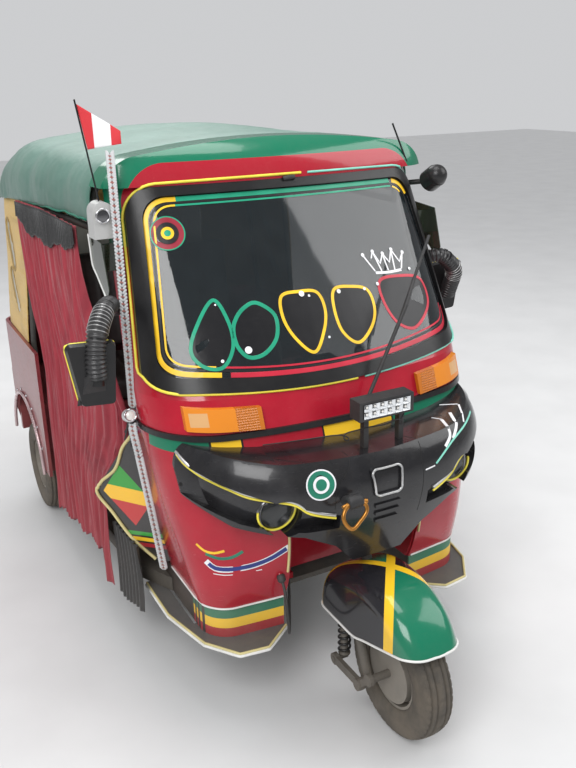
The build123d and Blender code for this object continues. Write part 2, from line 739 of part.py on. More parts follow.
# Rear suspension: trailing arms on a cross tube, drive shafts, springs and stub axles
with BuildPart() as rear_suspension:
    with Locations(Location((0, arm_pivot_y, arm_pivot_z), (0, 90, 0))):
        Cylinder(16, 800)
    for side in (-1, 1):
        add(tube([(side * 380, arm_pivot_y, arm_pivot_z), (side * 470, rear_axle_y, axle_z)], 18, 10))
        with Locations(Location((side * (hub_inner_x - 25), rear_axle_y, axle_z), (0, 90, 0))):
            Cylinder(42, 50)
        with Locations(Location((side * (hub_inner_x + 45), rear_axle_y, axle_z), (0, 90, 0))):
            Cylinder(axle_radius, 110)
        add(tube([(side * (engine_half_width + seat_gap), rear_axle_y, axle_z), (side * 480, rear_axle_y, axle_z)],
                 11, 0))
        add(spring_unit(side * spring_x, spring_foot_y, 212, bench_z - 14 - seat_gap, 34, 9, 6))
save(rear_suspension.part, "rear_suspension")

# Fork: column, crown, one leg with its swinging link, and the stub axle
leg_x = -80
leg_foot = (front_axle_y + 50, axle_z - 48)
link_x = -112
link_foot_z = 153
spring_x_front = -80
spring_y_front = front_axle_y + 190
link_points = [(spring_y_front, link_foot_z), leg_foot, (front_axle_y, axle_z)]
crown_z = 463
spring_head_z = 362
with BuildPart() as fork:
    add(axis_cylinder(column_radius, crown_z - 12, 985))
    add(tube([(0, steer_y(crown_z), crown_z), (leg_x, front_axle_y + 165, 432), (leg_x, leg_foot[0], leg_foot[1])],
             15, 30))
    for y, z in link_points:
        with Locations(Location((link_x, y, z), (0, 90, 0))):
            Cylinder(19, 14)
    for (y0, z0), (y1, z1) in zip(link_points, link_points[1:]):
        add(side_prism([(y0, z0 - 14), (y0, z0 + 14), (y1, z1 + 14), (y1, z1 - 14)], link_x - 7, link_x + 7))
    with Locations(Location(((link_x + leg_x) / 2, leg_foot[0], leg_foot[1]), (0, 90, 0))):
        Cylinder(18, abs(link_x - leg_x) + 26)
    with Locations(Location(((link_x + spring_x_front) / 2, spring_y_front, link_foot_z), (0, 90, 0))):
        Cylinder(9, abs(link_x - spring_x_front) + 20)
    with Locations(Location(((link_x + 45) / 2, front_axle_y, axle_z), (0, 90, 0))):
        Cylinder(axle_radius, 45 - link_x)
    add(side_prism([(spring_y_front - 50, spring_head_z), (spring_y_front + 14, spring_head_z),
                    (spring_y_front + 14, spring_head_z + 18), (spring_y_front - 40, spring_head_z + 18)],
                   leg_x - 12, leg_x + 16))
save(fork.part, "fork")

with BuildPart() as front_spring:
    add(spring_unit(spring_x_front, spring_y_front, link_foot_z + 9 + seat_gap, spring_head_z - seat_gap, 21, 6, 9))
save(front_spring.part, "front_spring")

# Handlebar with its headset, swept back so that it clears the windshield at full lock
bar_y_middle = steer_y(1000)
grip_x = 285
grip_back = 200
with BuildPart() as handlebar:
    add(tube([(-grip_x, bar_y_middle + grip_back, 1012), (-150, bar_y_middle + 45, 1005),
              (150, bar_y_middle + 45, 1005), (grip_x, bar_y_middle + grip_back, 1012)], 11, 60))
    add(box_between((-62, bar_y_middle - 24, 986), (62, bar_y_middle + 62, 1040)))
    for side in (-1, 1):
        add(tube([(side * 205, bar_y_middle + 108, 1008), (side * grip_x, bar_y_middle + grip_back, 1012)], 17, 10))
    add(axis_cylinder(column_radius + seat_gap, 960, 990), mode=Mode.SUBTRACT)
save(handlebar.part, "handlebar")

# Front mudguard: a rounded hood over the wheel, open below
# Sections round the axle: angle from the rear, radius at the crown, half width
guard_sections = [
    (138, 236, 92),
    (110, 268, 98),
    (78, 300, 104),
    (50, 345, 110),
    (13, 320, 110),
]
guard_skirt = [(front_axle_y + y, z) for y, z in ((-325, 362), (-161, 362), (83, 298), (425, 298), (425, 700),
                                                  (-325, 700))]


def guard_loft(inset):
    """Solid inside the mudguard's skin, set in all round."""
    with BuildPart(mode=Mode.PRIVATE) as loft_part:
        for angle, radius, half_width in guard_sections:
            turn = radians(angle)
            section = Plane(origin=(0, front_axle_y, axle_z), x_dir=(1, 0, 0), z_dir=(0, -sin(turn), cos(turn)))
            add(bulge_face(section, half_width - inset, inset - radius, 400 - inset, 56 - inset, -80, flip=-1))
        loft()
    return loft_part.part


with BuildPart() as mudguard:
    add(guard_loft(0))
    add(guard_loft(guard_wall), mode=Mode.SUBTRACT)
    add(side_prism(guard_skirt, -200, 200), mode=Mode.INTERSECT)
    add(axis_cylinder(column_radius + 1, 436, 640), mode=Mode.SUBTRACT)
save(mudguard.part, "mudguard")


# Wheels
def tyre_solid():
    """Tyre round the X axis at the origin."""
    half = tyre_width / 2
    with BuildPart(mode=Mode.PRIVATE) as ring:
        with BuildSketch(Plane.XY):
            with BuildLine():
                Polyline((-rim_width / 2, rim_radius + seat_gap), (rim_width / 2, rim_radius + seat_gap))
                ThreePointArc((rim_width / 2, rim_radius + seat_gap), (half, 158), (half - 9, 192))
                ThreePointArc((half - 9, 192), (0, tyre_radius), (9 - half, 192))
                ThreePointArc((9 - half, 192), (-half, 158), (-rim_width / 2, rim_radius + seat_gap))
            make_face()
        revolve(axis=Axis.X)
    return ring.part


def rim_solid(drum_side, spikes):
    """Steel rim with its disc, hub and brake drum on one side, and spike covers on the other."""
    s = drum_side
    half = rim_width / 2
    with BuildPart(mode=Mode.PRIVATE) as rim:
        with BuildSketch(Plane.XY):
            with BuildLine():
                Polyline((s * half, rim_radius), (s * half, rim_radius - 8), (s * 6, rim_radius - 12),
                         (s * 6, drum_radius), (s * (half + 8), drum_radius), (s * (half + 8), axle_radius + fit),
                         (-s * 30, axle_radius + fit), (-s * 30, hub_radius), (-s * 8, hub_radius + 6),
                         (-s * 16, drum_radius - 12), (-s * 4, rim_radius - 12), (-s * half, rim_radius - 8),
                         (-s * half, rim_radius), close=True)
            make_face()
        revolve(axis=Axis.X)
        if spikes:
            for k in range(5):
                turn = radians(72 * k + 18)
                with Locations(Location((-s * 26, spike_circle * cos(turn), spike_circle * sin(turn)),
                                        (0, -s * 90, 0))):
                    Cone(8, 1.5, 36)
    return rim.part


wheel_places = [("front", 0, front_axle_y, -1), ("rear_right", -rear_track / 2, rear_axle_y, 1),
                ("rear_left", rear_track / 2, rear_axle_y, -1)]
for place, x, y, drum_side in wheel_places:
    save(Pos(x, y, axle_z) * tyre_solid(), f"tyre_{place}")
    save(Pos(x, y, axle_z) * rim_solid(drum_side, place != "front"), f"rim_{place}")

# Mirrors on ribbed goosenecks; the left one is bent back towards the post
mirror_outline = [(-78, 88), (72, 96), (42, -92), (-62, -100)]
neck_radius = 19
neck_rings = 12
ring_stand = 4
# Side, route of the neck, middle of the mirror, turn of the mirror
mirror_places = [
    (-1, [(-575, -388, 1238), (-618, -480, 1272), (-680, -568, 1215), (-690, -572, 1075)], (-700, -545, 1105), 0),
    (1, [(575, -388, 1262), (622, -412, 1268), (690, -392, 1200), (702, -333, 1098)], (700, -306, 1130), 0),
]


def mirror_plate(side, inset, thickness, taper):
    """The outline of a mirror at the origin, facing forward, pulled to a thickness."""
    with BuildPart(mode=Mode.PRIVATE) as plate:
        with BuildSketch(Plane(origin=(0, 0, 0), x_dir=(1, 0, 0), z_dir=(0, -1, 0))) as face:
            with BuildLine():
                Polyline(*[(side * x, z) for x, z in mirror_outline], close=True)
            make_face()
            fillet(face.vertices(), 18)
            if inset:
                offset(amount=-inset, mode=Mode.REPLACE)
        extrude(amount=thickness, taper=taper)
    return plate.part


with BuildPart() as mirrors:
    for side, neck, middle, turn in mirror_places:
        with Locations(Location((side * 561, neck[0][1] + 2, neck[0][2] - 1), (0, 90, 0))):
            Cylinder(neck_radius + 4, 36)
        add(tube(neck, neck_radius, 30))
        with BuildLine(mode=Mode.PRIVATE) as bend:
            FilletPolyline(*neck, radius=30)
        for k in range(neck_rings):
            share = 0.14 + 0.61 * k / (neck_rings - 1)
            with BuildSketch(Plane(origin=bend.line @ share, z_dir=bend.line % share), mode=Mode.PRIVATE) as ring:
                Circle(neck_radius + ring_stand)
            extrude(ring.sketch, amount=ring_stand, both=True)
        add(Location(middle, (0, 0, turn)) * mirror_plate(side, 0, 26, 14))
    add(upper_skin, mode=Mode.SUBTRACT)
save(mirrors.part, "mirrors")
with BuildPart() as mirror_glasses:
    for side, neck, middle, turn in mirror_places:
        add(Location(middle, (0, 0, turn)) * Pos(0, seat_gap, 0) * mirror_plate(side, 4, -4, 0))
    add(mirrors.part, mode=Mode.SUBTRACT)
save(mirror_glasses.part, "mirror_glasses")

# Braided strap: place of its middle at each height
strap_rows = [(-536, -362, 1676), (-572, -488, 960), (-586, -512, 908), (-572, -512, 800), (-544, -490, 616),
              (-509, -466, 372)]
with BuildPart() as strap_right:
    for x, y, z in strap_rows:
        with BuildSketch(Plane(origin=(x, y, z), x_dir=(cos(radians(-35)), sin(radians(-35)), 0), z_dir=(0, 0, 1))):
            Rectangle(26, 5)
    loft(ruled=True)
    add(roof_outer.part, mode=Mode.SUBTRACT)
    add(cowl_skin, mode=Mode.SUBTRACT)
    add(upper_skin, mode=Mode.SUBTRACT)
save(strap_right.part, "strap_right")

# Side lamps: a silver pod and a black siren dome at the windshield's top corners, and the lamp
# that ties the strap to the cowl
with BuildPart() as side_lamps:
    with BuildSketch(Plane(origin=(-574, -372, 1492), x_dir=(1, 0, 0), z_dir=(0, -1, 0))):
        SlotOverall(104, 62, rotation=90)
        with Locations((0, -28)):
            Rectangle(62, 50)
    extrude(amount=-62)
    with Locations(Location((-578, -374, 1506), (90, 0, 0))):
        Cylinder(22, 12)
    add(box_between((-545, -340, 1470), (-520, -322, 1500)))
    with Locations(Location((582, -380, 1530), (60, 0, 0))):
        Cylinder(38, 48)
        with Locations((0, 0, 24)):
            Sphere(36)
    add(tube([(570, -358, 1520), (528, -306, 1512)], 9, 0))
    with Locations(Location((-590, -505, 940), (70, 0, 0))):
        Cylinder(20, 24)
    add(upper_skin, mode=Mode.SUBTRACT)
    add(windshield_seal.part, mode=Mode.SUBTRACT)
    add(front_cowl.part, mode=Mode.SUBTRACT)
    add(strap_right.part, mode=Mode.SUBTRACT)
save(side_lamps.part, "side_lamps")

# Wiper on the cowl, swept across the pane
with BuildPart() as wiper:
    add(tube([(50, -740, 938), (50, -792, 946), (240, -720, 1205), (307, -666, 1272)], 6, 6))
    add(tube([(215, -722, 1160), (400, -610, 1385)], 5, 0))
    add(cowl_skin, mode=Mode.SUBTRACT)
save(wiper.part, "wiper")

# Wind deflectors, side wings and step boards, one on each side
deflector_outline = [(-262, 1440), (-385, 1430), (-425, 1300), (-402, 1266), (-352, 1302), (-280, 1350)]
deflector_x = 590
with BuildPart() as wind_deflectors:
    for side in (-1, 1):
        x_low, x_high = sorted((side * deflector_x, side * (deflector_x + 3)))
        add(side_prism(deflector_outline, x_low, x_high))
        add(side_box(side, (540, -352, 1340), (deflector_x, -342, 1420)))
    add(upper_skin, mode=Mode.SUBTRACT)
    for side, neck, middle, turn in mirror_places:
        add(tube(neck, neck_radius + ring_stand + 1, 30), mode=Mode.SUBTRACT)
save(wind_deflectors.part, "wind_deflectors")

# Each wing is flat and stands out from the cowl's rear edge: outline as (out, up along the edge)
wing_outline = [(-22, 14), (-22, 540), (30, 470), (80, 410), (231, 243), (120, 70), (40, 0)]
wing_foot = (485, door_front_y - 1, 372)
wing_rise = (84, 0, 518)
wing_out = (0.576, 0.812, -0.093)
with BuildPart() as side_wings:
    for side in (-1, 1):
        rise = Vector(side * wing_rise[0], wing_rise[1], wing_rise[2])
        out = Vector(side * wing_out[0], wing_out[1], wing_out[2])
        with BuildSketch(Plane(origin=(side * wing_foot[0], wing_foot[1], wing_foot[2]), x_dir=out,
                               z_dir=out.cross(rise))):
            with BuildLine():
                Polyline(*wing_outline, close=True)
            make_face()
        extrude(amount=3)
    add(cowl_skin, mode=Mode.SUBTRACT)
    add(front_cowl.part, mode=Mode.SUBTRACT)
save(side_wings.part, "side_wings")

board_z = 250
# Corners of the right step board, seen from above
board_outline = [(-482, door_front_y + 100), (-536, door_front_y + 100), (-536, -560), (-492, -750), (-420, -850),
                 (-330, -862), (-235, -790), (-240, -640), (-482, -640)]


def upstand_face(side):
    """The wall between a step board and the cowl's foot, in plan."""
    with BuildSketch(Plane.XY, mode=Mode.PRIVATE) as wall:
        add(foot_plan(1, -340))
        add(foot_plan(7, 0), mode=Mode.SUBTRACT)
        with Locations((side * (well_half_width + 4 - 600), -500)):
            Rectangle(1200, 1400, mode=Mode.SUBTRACT)
    return Plane.XY.offset(board_z + 10) * wall.sketch


with BuildPart() as step_boards:
    for side in (-1, 1):
        with BuildSketch(Plane.XY.offset(board_z)):
            with BuildLine():
                Polyline(*[(-side * x, y) for x, y in board_outline], close=True)
            make_face()
        extrude(amount=10)
        extrude(upstand_face(side), amount=cowl_foot_z - board_z - 10 - seat_gap)
save(step_boards.part, "step_boards")

# Soft pieces: the door curtain, the braided strap, the flag and its whip
curtain_x = roof_half_width - 1
curtain_rear_y = tub_front_y - 12
curtain_outline = [(-192, 1466.9), (200, 1459.7), (curtain_rear_y, 1440.9), (curtain_rear_y, 168), (124, 256),
                   (-150, 298), (-160, 215), (-192, 215)]
save(side_prism(curtain_outline, -curtain_x - 22, -curtain_x), "curtain_right")

whip_foot = (-576, -346, 1544 + seat_gap)
whip_tip = (-618, -346, 1822)
with BuildPart() as whips:
    add(tube([whip_foot, whip_tip], 2.5, 0))
    add(tube([(488, -356, 1590), (430, -352, 1716)], 3, 0))
    add(roof_outer.part, mode=Mode.SUBTRACT)
    add(upper_skin, mode=Mode.SUBTRACT)
save(whips.part, "whips")

with BuildPart() as flag:
    with BuildSketch(Plane(origin=(-608.6, -346, 1760), x_dir=(cos(radians(-25)), sin(radians(-25)), 0),
                           z_dir=(sin(radians(-25)), -cos(radians(-25)), 0))):
        with BuildLine():
            Polyline((-5.2, 50), (112, -24), (106, -58), (14.2, -72), close=True)
        make_face()
    extrude(amount=3)
    add(whips.part, mode=Mode.SUBTRACT)
save(flag.part, "flag")
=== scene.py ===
"""Auto rickshaw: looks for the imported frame.

Metres. The front faces -Y, the vehicle's right side is -X, +Z is up.
"""
import math

import bmesh
import bpy
from mathutils import Matrix, Vector, noise


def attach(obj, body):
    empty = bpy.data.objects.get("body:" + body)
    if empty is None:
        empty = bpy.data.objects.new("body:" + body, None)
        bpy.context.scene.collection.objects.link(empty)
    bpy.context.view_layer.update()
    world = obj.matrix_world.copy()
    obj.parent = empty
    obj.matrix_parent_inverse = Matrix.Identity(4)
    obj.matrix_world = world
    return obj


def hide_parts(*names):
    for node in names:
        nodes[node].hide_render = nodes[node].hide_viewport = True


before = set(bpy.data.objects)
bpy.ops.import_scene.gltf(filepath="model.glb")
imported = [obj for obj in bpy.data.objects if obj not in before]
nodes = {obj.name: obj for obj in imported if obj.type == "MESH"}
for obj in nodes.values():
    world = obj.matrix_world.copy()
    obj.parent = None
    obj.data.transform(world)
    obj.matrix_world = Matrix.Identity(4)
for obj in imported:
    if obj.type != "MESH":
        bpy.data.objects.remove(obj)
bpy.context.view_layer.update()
scene = bpy.context.scene

# Camera: place, turn and lens of the photograph
camera_place = Vector((-1.25135, -2.78205, 1.87157))
camera_yaw = 0.481833
camera_pitch = 0.348197
camera_roll = -0.021690
focal_px = 850.1
photo_width = 576
photo_height = 768
sensor_mm = 36.0


def add_camera():
    """The camera at the photograph's viewing angle."""
    ahead = Vector(
        (
            math.sin(camera_yaw) * math.cos(camera_pitch), math.cos(camera_yaw) * math.cos(camera_pitch),
            -math.sin(camera_pitch)))
    level = Vector((math.cos(camera_yaw), -math.sin(camera_yaw), 0))
    above = level.cross(ahead)
    cos_roll, sin_roll = math.cos(camera_roll), math.sin(camera_roll)
    right = cos_roll * level + sin_roll * above
    top = -sin_roll * level + cos_roll * above
    turn = Matrix((right, top, -ahead)).transposed().to_4x4()
    data = bpy.data.cameras.new("photo_camera")
    data.sensor_width = sensor_mm
    data.lens = focal_px * sensor_mm / photo_height
    camera = bpy.data.objects.new("photo_camera", data)
    scene.collection.objects.link(camera)
    camera.matrix_world = Matrix.Translation(camera_place) @ turn
    scene.camera = camera


add_camera()


# Shader building blocks
class Wire:
    """A value in a node tree. Arithmetic on it adds Math nodes."""

    def __init__(self, tree, socket):
        self.tree = tree
        self.socket = socket

    def math(self, operation, *others, clamp=False):
        node = self.tree.nodes.new("ShaderNodeMath")
        node.operation = operation
        node.use_clamp = clamp
        for slot, value in zip(node.inputs, (self, *others)):
            plug(self.tree, value, slot)
        return Wire(self.tree, node.outputs[0])

    def __add__(self, other):
        return self.math("ADD", other)

    def __sub__(self, other):
        return self.math("SUBTRACT", other)

    def __mul__(self, other):
        return self.math("MULTIPLY", other)

    def __truediv__(self, other):
        return self.math("DIVIDE", other)

    def above(self, limit):
        return self.math("GREATER_THAN", limit)

    def below(self, limit):
        return self.math("LESS_THAN", limit)

    def between(self, low, high):
        return self.above(low) * self.below(high)

    def size(self):
        return self.math("ABSOLUTE")

    def either(self, other):
        return self.math("MAXIMUM", other)

    def ramp(self, low, high, start=0.0, end=1.0):
        """Runs from start to end while the value goes from low to high."""
        node = self.tree.nodes.new("ShaderNodeMapRange")
        plug(self.tree, self, node.inputs["Value"])
        for name, value in zip(("From Min", "From Max", "To Min", "To Max"), (low, high, start, end)):
            node.inputs[name].default_value = value
        return Wire(self.tree, node.outputs["Result"])


def plug(tree, value, slot):
    """Link a wire to a socket, or set the socket's value."""
    if isinstance(value, Wire):
        tree.links.new(value.socket, slot)
    elif hasattr(slot.default_value, "__len__") and len(value) == 3 and len(slot.default_value) == 4:
        slot.default_value = (*value, 1.0)
    else:
        slot.default_value = value


def place_of(tree):
    """The object coordinates and their three parts."""
    coords = tree.nodes.new("ShaderNodeTexCoord")
    parts = tree.nodes.new("ShaderNodeSeparateXYZ")
    tree.links.new(coords.outputs["Object"], parts.inputs[0])
    return [Wire(tree, coords.outputs["Object"])] + [Wire(tree, out) for out in parts.outputs]


def stretch(tree, place, scale):
    """Coordinates scaled by three factors."""
    node = tree.nodes.new("ShaderNodeMapping")
    plug(tree, place, node.inputs["Vector"])
    node.inputs["Scale"].default_value = scale
    return Wire(tree, node.outputs[0])


def speckle(tree, place, scale, detail=3.0, roughness=0.55):
    """Noise from 0 to 1."""
    node = tree.nodes.new("ShaderNodeTexNoise")
    plug(tree, place, node.inputs["Vector"])
    plug(tree, scale, node.inputs["Scale"])
    node.inputs["Detail"].default_value = detail
    node.inputs["Roughness"].default_value = roughness
    return Wire(tree, node.outputs["Fac"])


def cells(tree, place, scale):
    """Distance to the nearest cell centre."""
    node = tree.nodes.new("ShaderNodeTexVoronoi")
    plug(tree, place, node.inputs["Vector"])
    plug(tree, scale, node.inputs["Scale"])
    return Wire(tree, node.outputs["Distance"])


def blend_colour(tree, mask, low, high):
    """Colour low where the mask is 0 and high where it is 1."""
    node = tree.nodes.new("ShaderNodeMix")
    node.data_type = "RGBA"
    plug(tree, mask, node.inputs["Factor"])
    plug(tree, low, node.inputs[6])
    plug(tree, high, node.inputs[7])
    return Wire(tree, node.outputs[2])


def new_group(name, inputs, outputs):
    """A shader node group with named sockets, each as (name, kind, default)."""
    tree = bpy.data.node_groups.new(name, "ShaderNodeTree")
    for way, sockets in (("INPUT", inputs), ("OUTPUT", outputs)):
        for label, kind, default in sockets:
            socket = tree.interface.new_socket(label, in_out=way, socket_type=f"NodeSocket{kind}")
            if default is not None:
                socket.default_value = default
    entry = tree.nodes.new("NodeGroupInput")
    leave = tree.nodes.new("NodeGroupOutput")
    wires = {out.name: Wire(tree, out) for out in entry.outputs if out.name}
    return tree, wires, leave


def use_group(tree, group, **values):
    """Put a group into a tree, and give its outputs by name."""
    node = tree.nodes.new("ShaderNodeGroup")
    node.node_tree = group
    for label, value in values.items():
        plug(tree, value, node.inputs[label.replace("_", " ").capitalize()])
    return {out.name: Wire(tree, out) for out in node.outputs}


def make_grime():
    """Street dust: thicker near the ground, in patches."""
    tree, given, leave = new_group(
        "street_grime",
        [("Colour", "Color", (0.5, 0.5, 0.5, 1)), ("Amount", "Float", 0.3), ("Height", "Float", 0.6)],
        [("Colour", "Color", None), ("Mask", "Float", None)])
    place, x, y, z = place_of(tree)
    patches = speckle(tree, place, 7.0, 5.0, 0.6).ramp(0.42, 0.75)
    fine = speckle(tree, place, 60.0, 4.0, 0.7).ramp(0.35, 0.8)
    low = (z / given["Height"]).math("MULTIPLY", -1.0).math("ADD", 1.0, clamp=True)
    mask = ((patches * 0.35 + fine * 0.25 + low * 0.75) * given["Amount"]).math("MINIMUM", 0.85)
    plug(tree, blend_colour(tree, mask, given["Colour"], (0.30, 0.26, 0.21)), leave.inputs["Colour"])
    plug(tree, mask, leave.inputs["Mask"])
    return tree


def make_peel():
    """Slight waves and fine peel of a hand-sprayed coat."""
    tree, given, leave = new_group("spray_peel", [("Strength", "Float", 1.0)], [("Height", "Float", None)])
    place, x, y, z = place_of(tree)
    waves = speckle(tree, place, 9.0, 2.0, 0.4)
    peel = speckle(tree, place, 420.0, 2.0, 0.5)
    plug(tree, (waves * 0.9 + peel * 0.1) * given["Strength"], leave.inputs["Height"])
    return tree


def make_weave():
    """Plain weave of threads in two directions."""
    tree, given, leave = new_group("plain_weave", [("Scale", "Float", 700.0)], [("Height", "Float", None)])
    place, x, y, z = place_of(tree)
    across = ((x + y) * given["Scale"]).math("SINE")
    up = (z * given["Scale"]).math("SINE")
    plug(tree, (across * up).math("MULTIPLY_ADD", 0.5, 0.5), leave.inputs["Height"])
    return tree


def make_grain():
    """Pebbled grain of vinyl and moulded plastic."""
    tree, given, leave = new_group("pebble_grain", [("Scale", "Float", 500.0)], [("Height", "Float", None)])
    place, x, y, z = place_of(tree)
    plug(tree, cells(tree, place, given["Scale"]).math("MULTIPLY_ADD", 0.8, 0.1), leave.inputs["Height"])
    return tree


def make_scuffs():
    """Thin scuffs and faded patches, from 0 to 1."""
    tree, given, leave = new_group("scuffs", [("Scale", "Float", 30.0)], [("Mask", "Float", None)])
    place, x, y, z = place_of(tree)
    streaks = speckle(tree, stretch(tree, place, (1.0, 1.0, 6.0)), given["Scale"], 6.0, 0.7)
    plug(tree, streaks.ramp(0.55, 0.75), leave.inputs["Mask"])
    return tree


grime_group = make_grime()
peel_group = make_peel()
weave_group = make_weave()
grain_group = make_grain()
scuffs_group = make_scuffs()

# Reliefs: a group and its values
sprayed = (peel_group, {"strength": 1.0})


def woven(scale):
    """Relief of woven threads."""
    return weave_group, {"scale": scale}


def grained(scale):
    """Relief of pebbled grain."""
    return grain_group, {"scale": scale}


def finish_material(name, colour, roughness, metal=0.0, coat=0.0, grime=0.2, grime_height=0.7,
                    relief=None, depth=0.0002, sheen=0.0, alpha=1.0, specular=0.5,
                    pattern=None):
    """A material from a base colour, a relief group with its scale, and street grime.

    pattern(tree, place, x, y, z) gives a colour wire that takes the plain colour's place.
    """
    material = bpy.data.materials.new(name)
    material.use_nodes = True
    tree = material.node_tree
    surface = tree.nodes["Principled BSDF"]
    place, x, y, z = place_of(tree)
    if pattern:
        base = pattern(tree, place, x, y, z)
    else:
        shade = speckle(tree, place, 14.0, 3.0, 0.5).ramp(0.3, 0.7)
        base = blend_colour(
            tree, shade, tuple(c * 0.86 for c in colour), tuple(min(1, c * 1.1) for c in colour))
    dirty = use_group(tree, grime_group, colour=base, amount=grime, height=grime_height)
    plug(tree, dirty["Colour"], surface.inputs["Base Color"])
    scuffed = use_group(tree, scuffs_group, scale=26.0)["Mask"]
    rough = (dirty["Mask"] * 0.5 + scuffed * 0.12).math("ADD", roughness, clamp=True)
    plug(tree, rough, surface.inputs["Roughness"])
    if relief:
        group, values = relief
        height = use_group(tree, group, **values)["Height"]
        bump = tree.nodes.new("ShaderNodeBump")
        bump.inputs["Distance"].default_value = depth
        plug(tree, height, bump.inputs["Height"])
        plug(tree, Wire(tree, bump.outputs[0]), surface.inputs["Normal"])
    for label, value in (("Metallic", metal), ("Coat Weight", coat), ("Coat Roughness", 0.06),
                         ("Specular IOR Level", specular), ("Sheen Weight", sheen), ("Alpha", alpha)):
        surface.inputs[label].default_value = value
    return material


# Colours of the paint scheme
red = (0.37, 0.008, 0.022)
maroon = (0.20, 0.016, 0.026)
green = (0.004, 0.155, 0.082)
yellow = (0.86, 0.52, 0.02)
black = (0.012, 0.012, 0.014)
mint = (0.22, 0.62, 0.50)


def cowl_paint(tree, place, x, y, z):
    """Red with a black rubber strip, and a band in five fields under it."""
    band_foot, strip_foot, strip_head = 0.862, 0.8995, 0.9165
    band_rear_y = -0.56
    half_gap = 0.003
    shade = speckle(tree, place, 5.0, 3.0, 0.5).ramp(0.3, 0.7)
    colour = blend_colour(tree, shade, (0.30, 0.005, 0.017), (0.42, 0.010, 0.027))
    band = z.between(band_foot, strip_foot) * y.below(band_rear_y)
    # Fields of the band from the right: far end, colour
    for end, field in ((2.0, green), (0.155, yellow), (-0.091, red), (-0.339, yellow), (-0.427, green)):
        colour = blend_colour(tree, band * x.below(end), colour, field)
    for line in (-0.427, -0.339, -0.091, 0.155):
        colour = blend_colour(tree, band * x.between(line - half_gap, line + half_gap), colour, black)
    return blend_colour(tree, z.between(strip_foot, strip_head), colour, (0.015, 0.015, 0.016))


def header_paint(tree, place, x, y, z):
    """Green over the roof's edge, red inside a frame round the windshield."""
    corner = 0.13
    frame_half, frame_top, frame_foot, frame_rear_y = 0.508, 1.640, 1.412, -0.285
    side = x.size().math("SUBTRACT", frame_half - corner).math("MAXIMUM", 0.0)
    top = z.math("SUBTRACT", frame_top - corner).math("MAXIMUM", 0.0)
    reach = (side * side + top * top).math("SQRT")
    inside = reach.below(corner).either(z.below(frame_foot))
    return blend_colour(tree, inside * y.below(frame_rear_y), green, red)


def mask_paint(tree, place, x, y, z):
    """Black, greyer where the sun has faded it."""
    fade = speckle(tree, place, 6.0, 4.0, 0.6).ramp(0.45, 0.8)
    return blend_colour(tree, fade, (0.010, 0.010, 0.012), (0.030, 0.030, 0.033))


def guard_paint(tree, place, x, y, z):
    """A yellow cross between green and black fields."""
    half_stripe = 0.0165
    first = x + y * 0.66 + 0.623
    second = x - y * 0.72 - 0.727
    cross = first.size().below(half_stripe).either(second.size().below(half_stripe))
    side_field = (first * second).below(0.0)
    field = blend_colour(tree, side_field, (0.012, 0.012, 0.016), green)
    return blend_colour(tree, cross, field, yellow)


def board_paint(tree, place, x, y, z):
    """Grey mat on the board, and green, yellow and red bands on its wall."""
    wall = z.above(0.2605)
    colour = blend_colour(tree, z.below(0.326), green, yellow)
    colour = blend_colour(tree, z.below(0.292), colour, red)
    plain = blend_colour(tree, y.above(-0.62), colour, (0.03, 0.02, 0.02))
    stripes = y.between(-0.70, -0.62) * ((y * 40.0).math("FRACT")).below(0.5)
    plain = blend_colour(tree, stripes, plain, black)
    return blend_colour(tree, wall, (0.075, 0.078, 0.082), plain)


def wing_paint(tree, place, x, y, z):
    """Black with a patch in three fields and three stripes at the foot."""
    patch = ((y + 0.365).size() * 1.1 + (z - 0.61).size() * 0.75).below(0.085)
    colour = blend_colour(tree, patch * z.above(0.64), black, (0.02, 0.30, 0.03))
    colour = blend_colour(tree, patch * z.between(0.585, 0.64), colour, (0.88, 0.50, 0.02))
    colour = blend_colour(tree, patch * z.below(0.585), colour, (0.50, 0.02, 0.02))
    foot = z + y * 0.15
    stripe = 0.015
    for low, field in ((0.405, (0.02, 0.30, 0.03)), (0.383, yellow), (0.361, red)):
        colour = blend_colour(tree, foot.between(low, low + stripe), colour, field)
    return colour


def hood_cloth(tree, place, x, y, z):
    """Dark green vinyl, chalky in faded patches and paler towards the top, where a sky sheen is painted."""
    bleach = speckle(tree, place, 3.0, 5.0, 0.6).ramp(0.30, 0.75)
    # Painted sky sheen: the vinyl is lighter the higher it lies; the noise above gives the real faded
    # patches.
    high = z.ramp(1.46, 1.66)
    fade_and_top_sheen = (bleach * 0.55 + high * 0.45).math("MINIMUM", 1.0)
    return blend_colour(tree, fade_and_top_sheen, (0.040, 0.135, 0.100), (0.125, 0.245, 0.200))


def curtain_cloth(tree, place, x, y, z):
    """Crimson, darker in upright streaks: painted shade of the folds."""
    # Painted shade of the folds: upright streaks of darker crimson.
    streaks = speckle(tree, stretch(tree, place, (1.0, 12.0, 1.2)), 3.0, 3.0, 0.5).ramp(0.3, 0.7)
    return blend_colour(tree, streaks, (0.24, 0.014, 0.028), (0.36, 0.028, 0.046))


def canvas_cloth(tree, place, x, y, z):
    """Golden canvas, browner in rubbed and stained places."""
    stain = speckle(tree, place, 5.0, 5.0, 0.6).ramp(0.45, 0.85)
    return blend_colour(tree, stain, (0.66, 0.43, 0.115), (0.40, 0.26, 0.08))


def tyre_mud(tree, place, x, y, z):
    """Dusty black rubber, tan with dried mud on the walls."""
    mud = speckle(tree, place, 12.0, 5.0, 0.65).ramp(0.35, 0.7)
    return blend_colour(tree, mud, (0.020, 0.019, 0.018), (0.085, 0.068, 0.050))


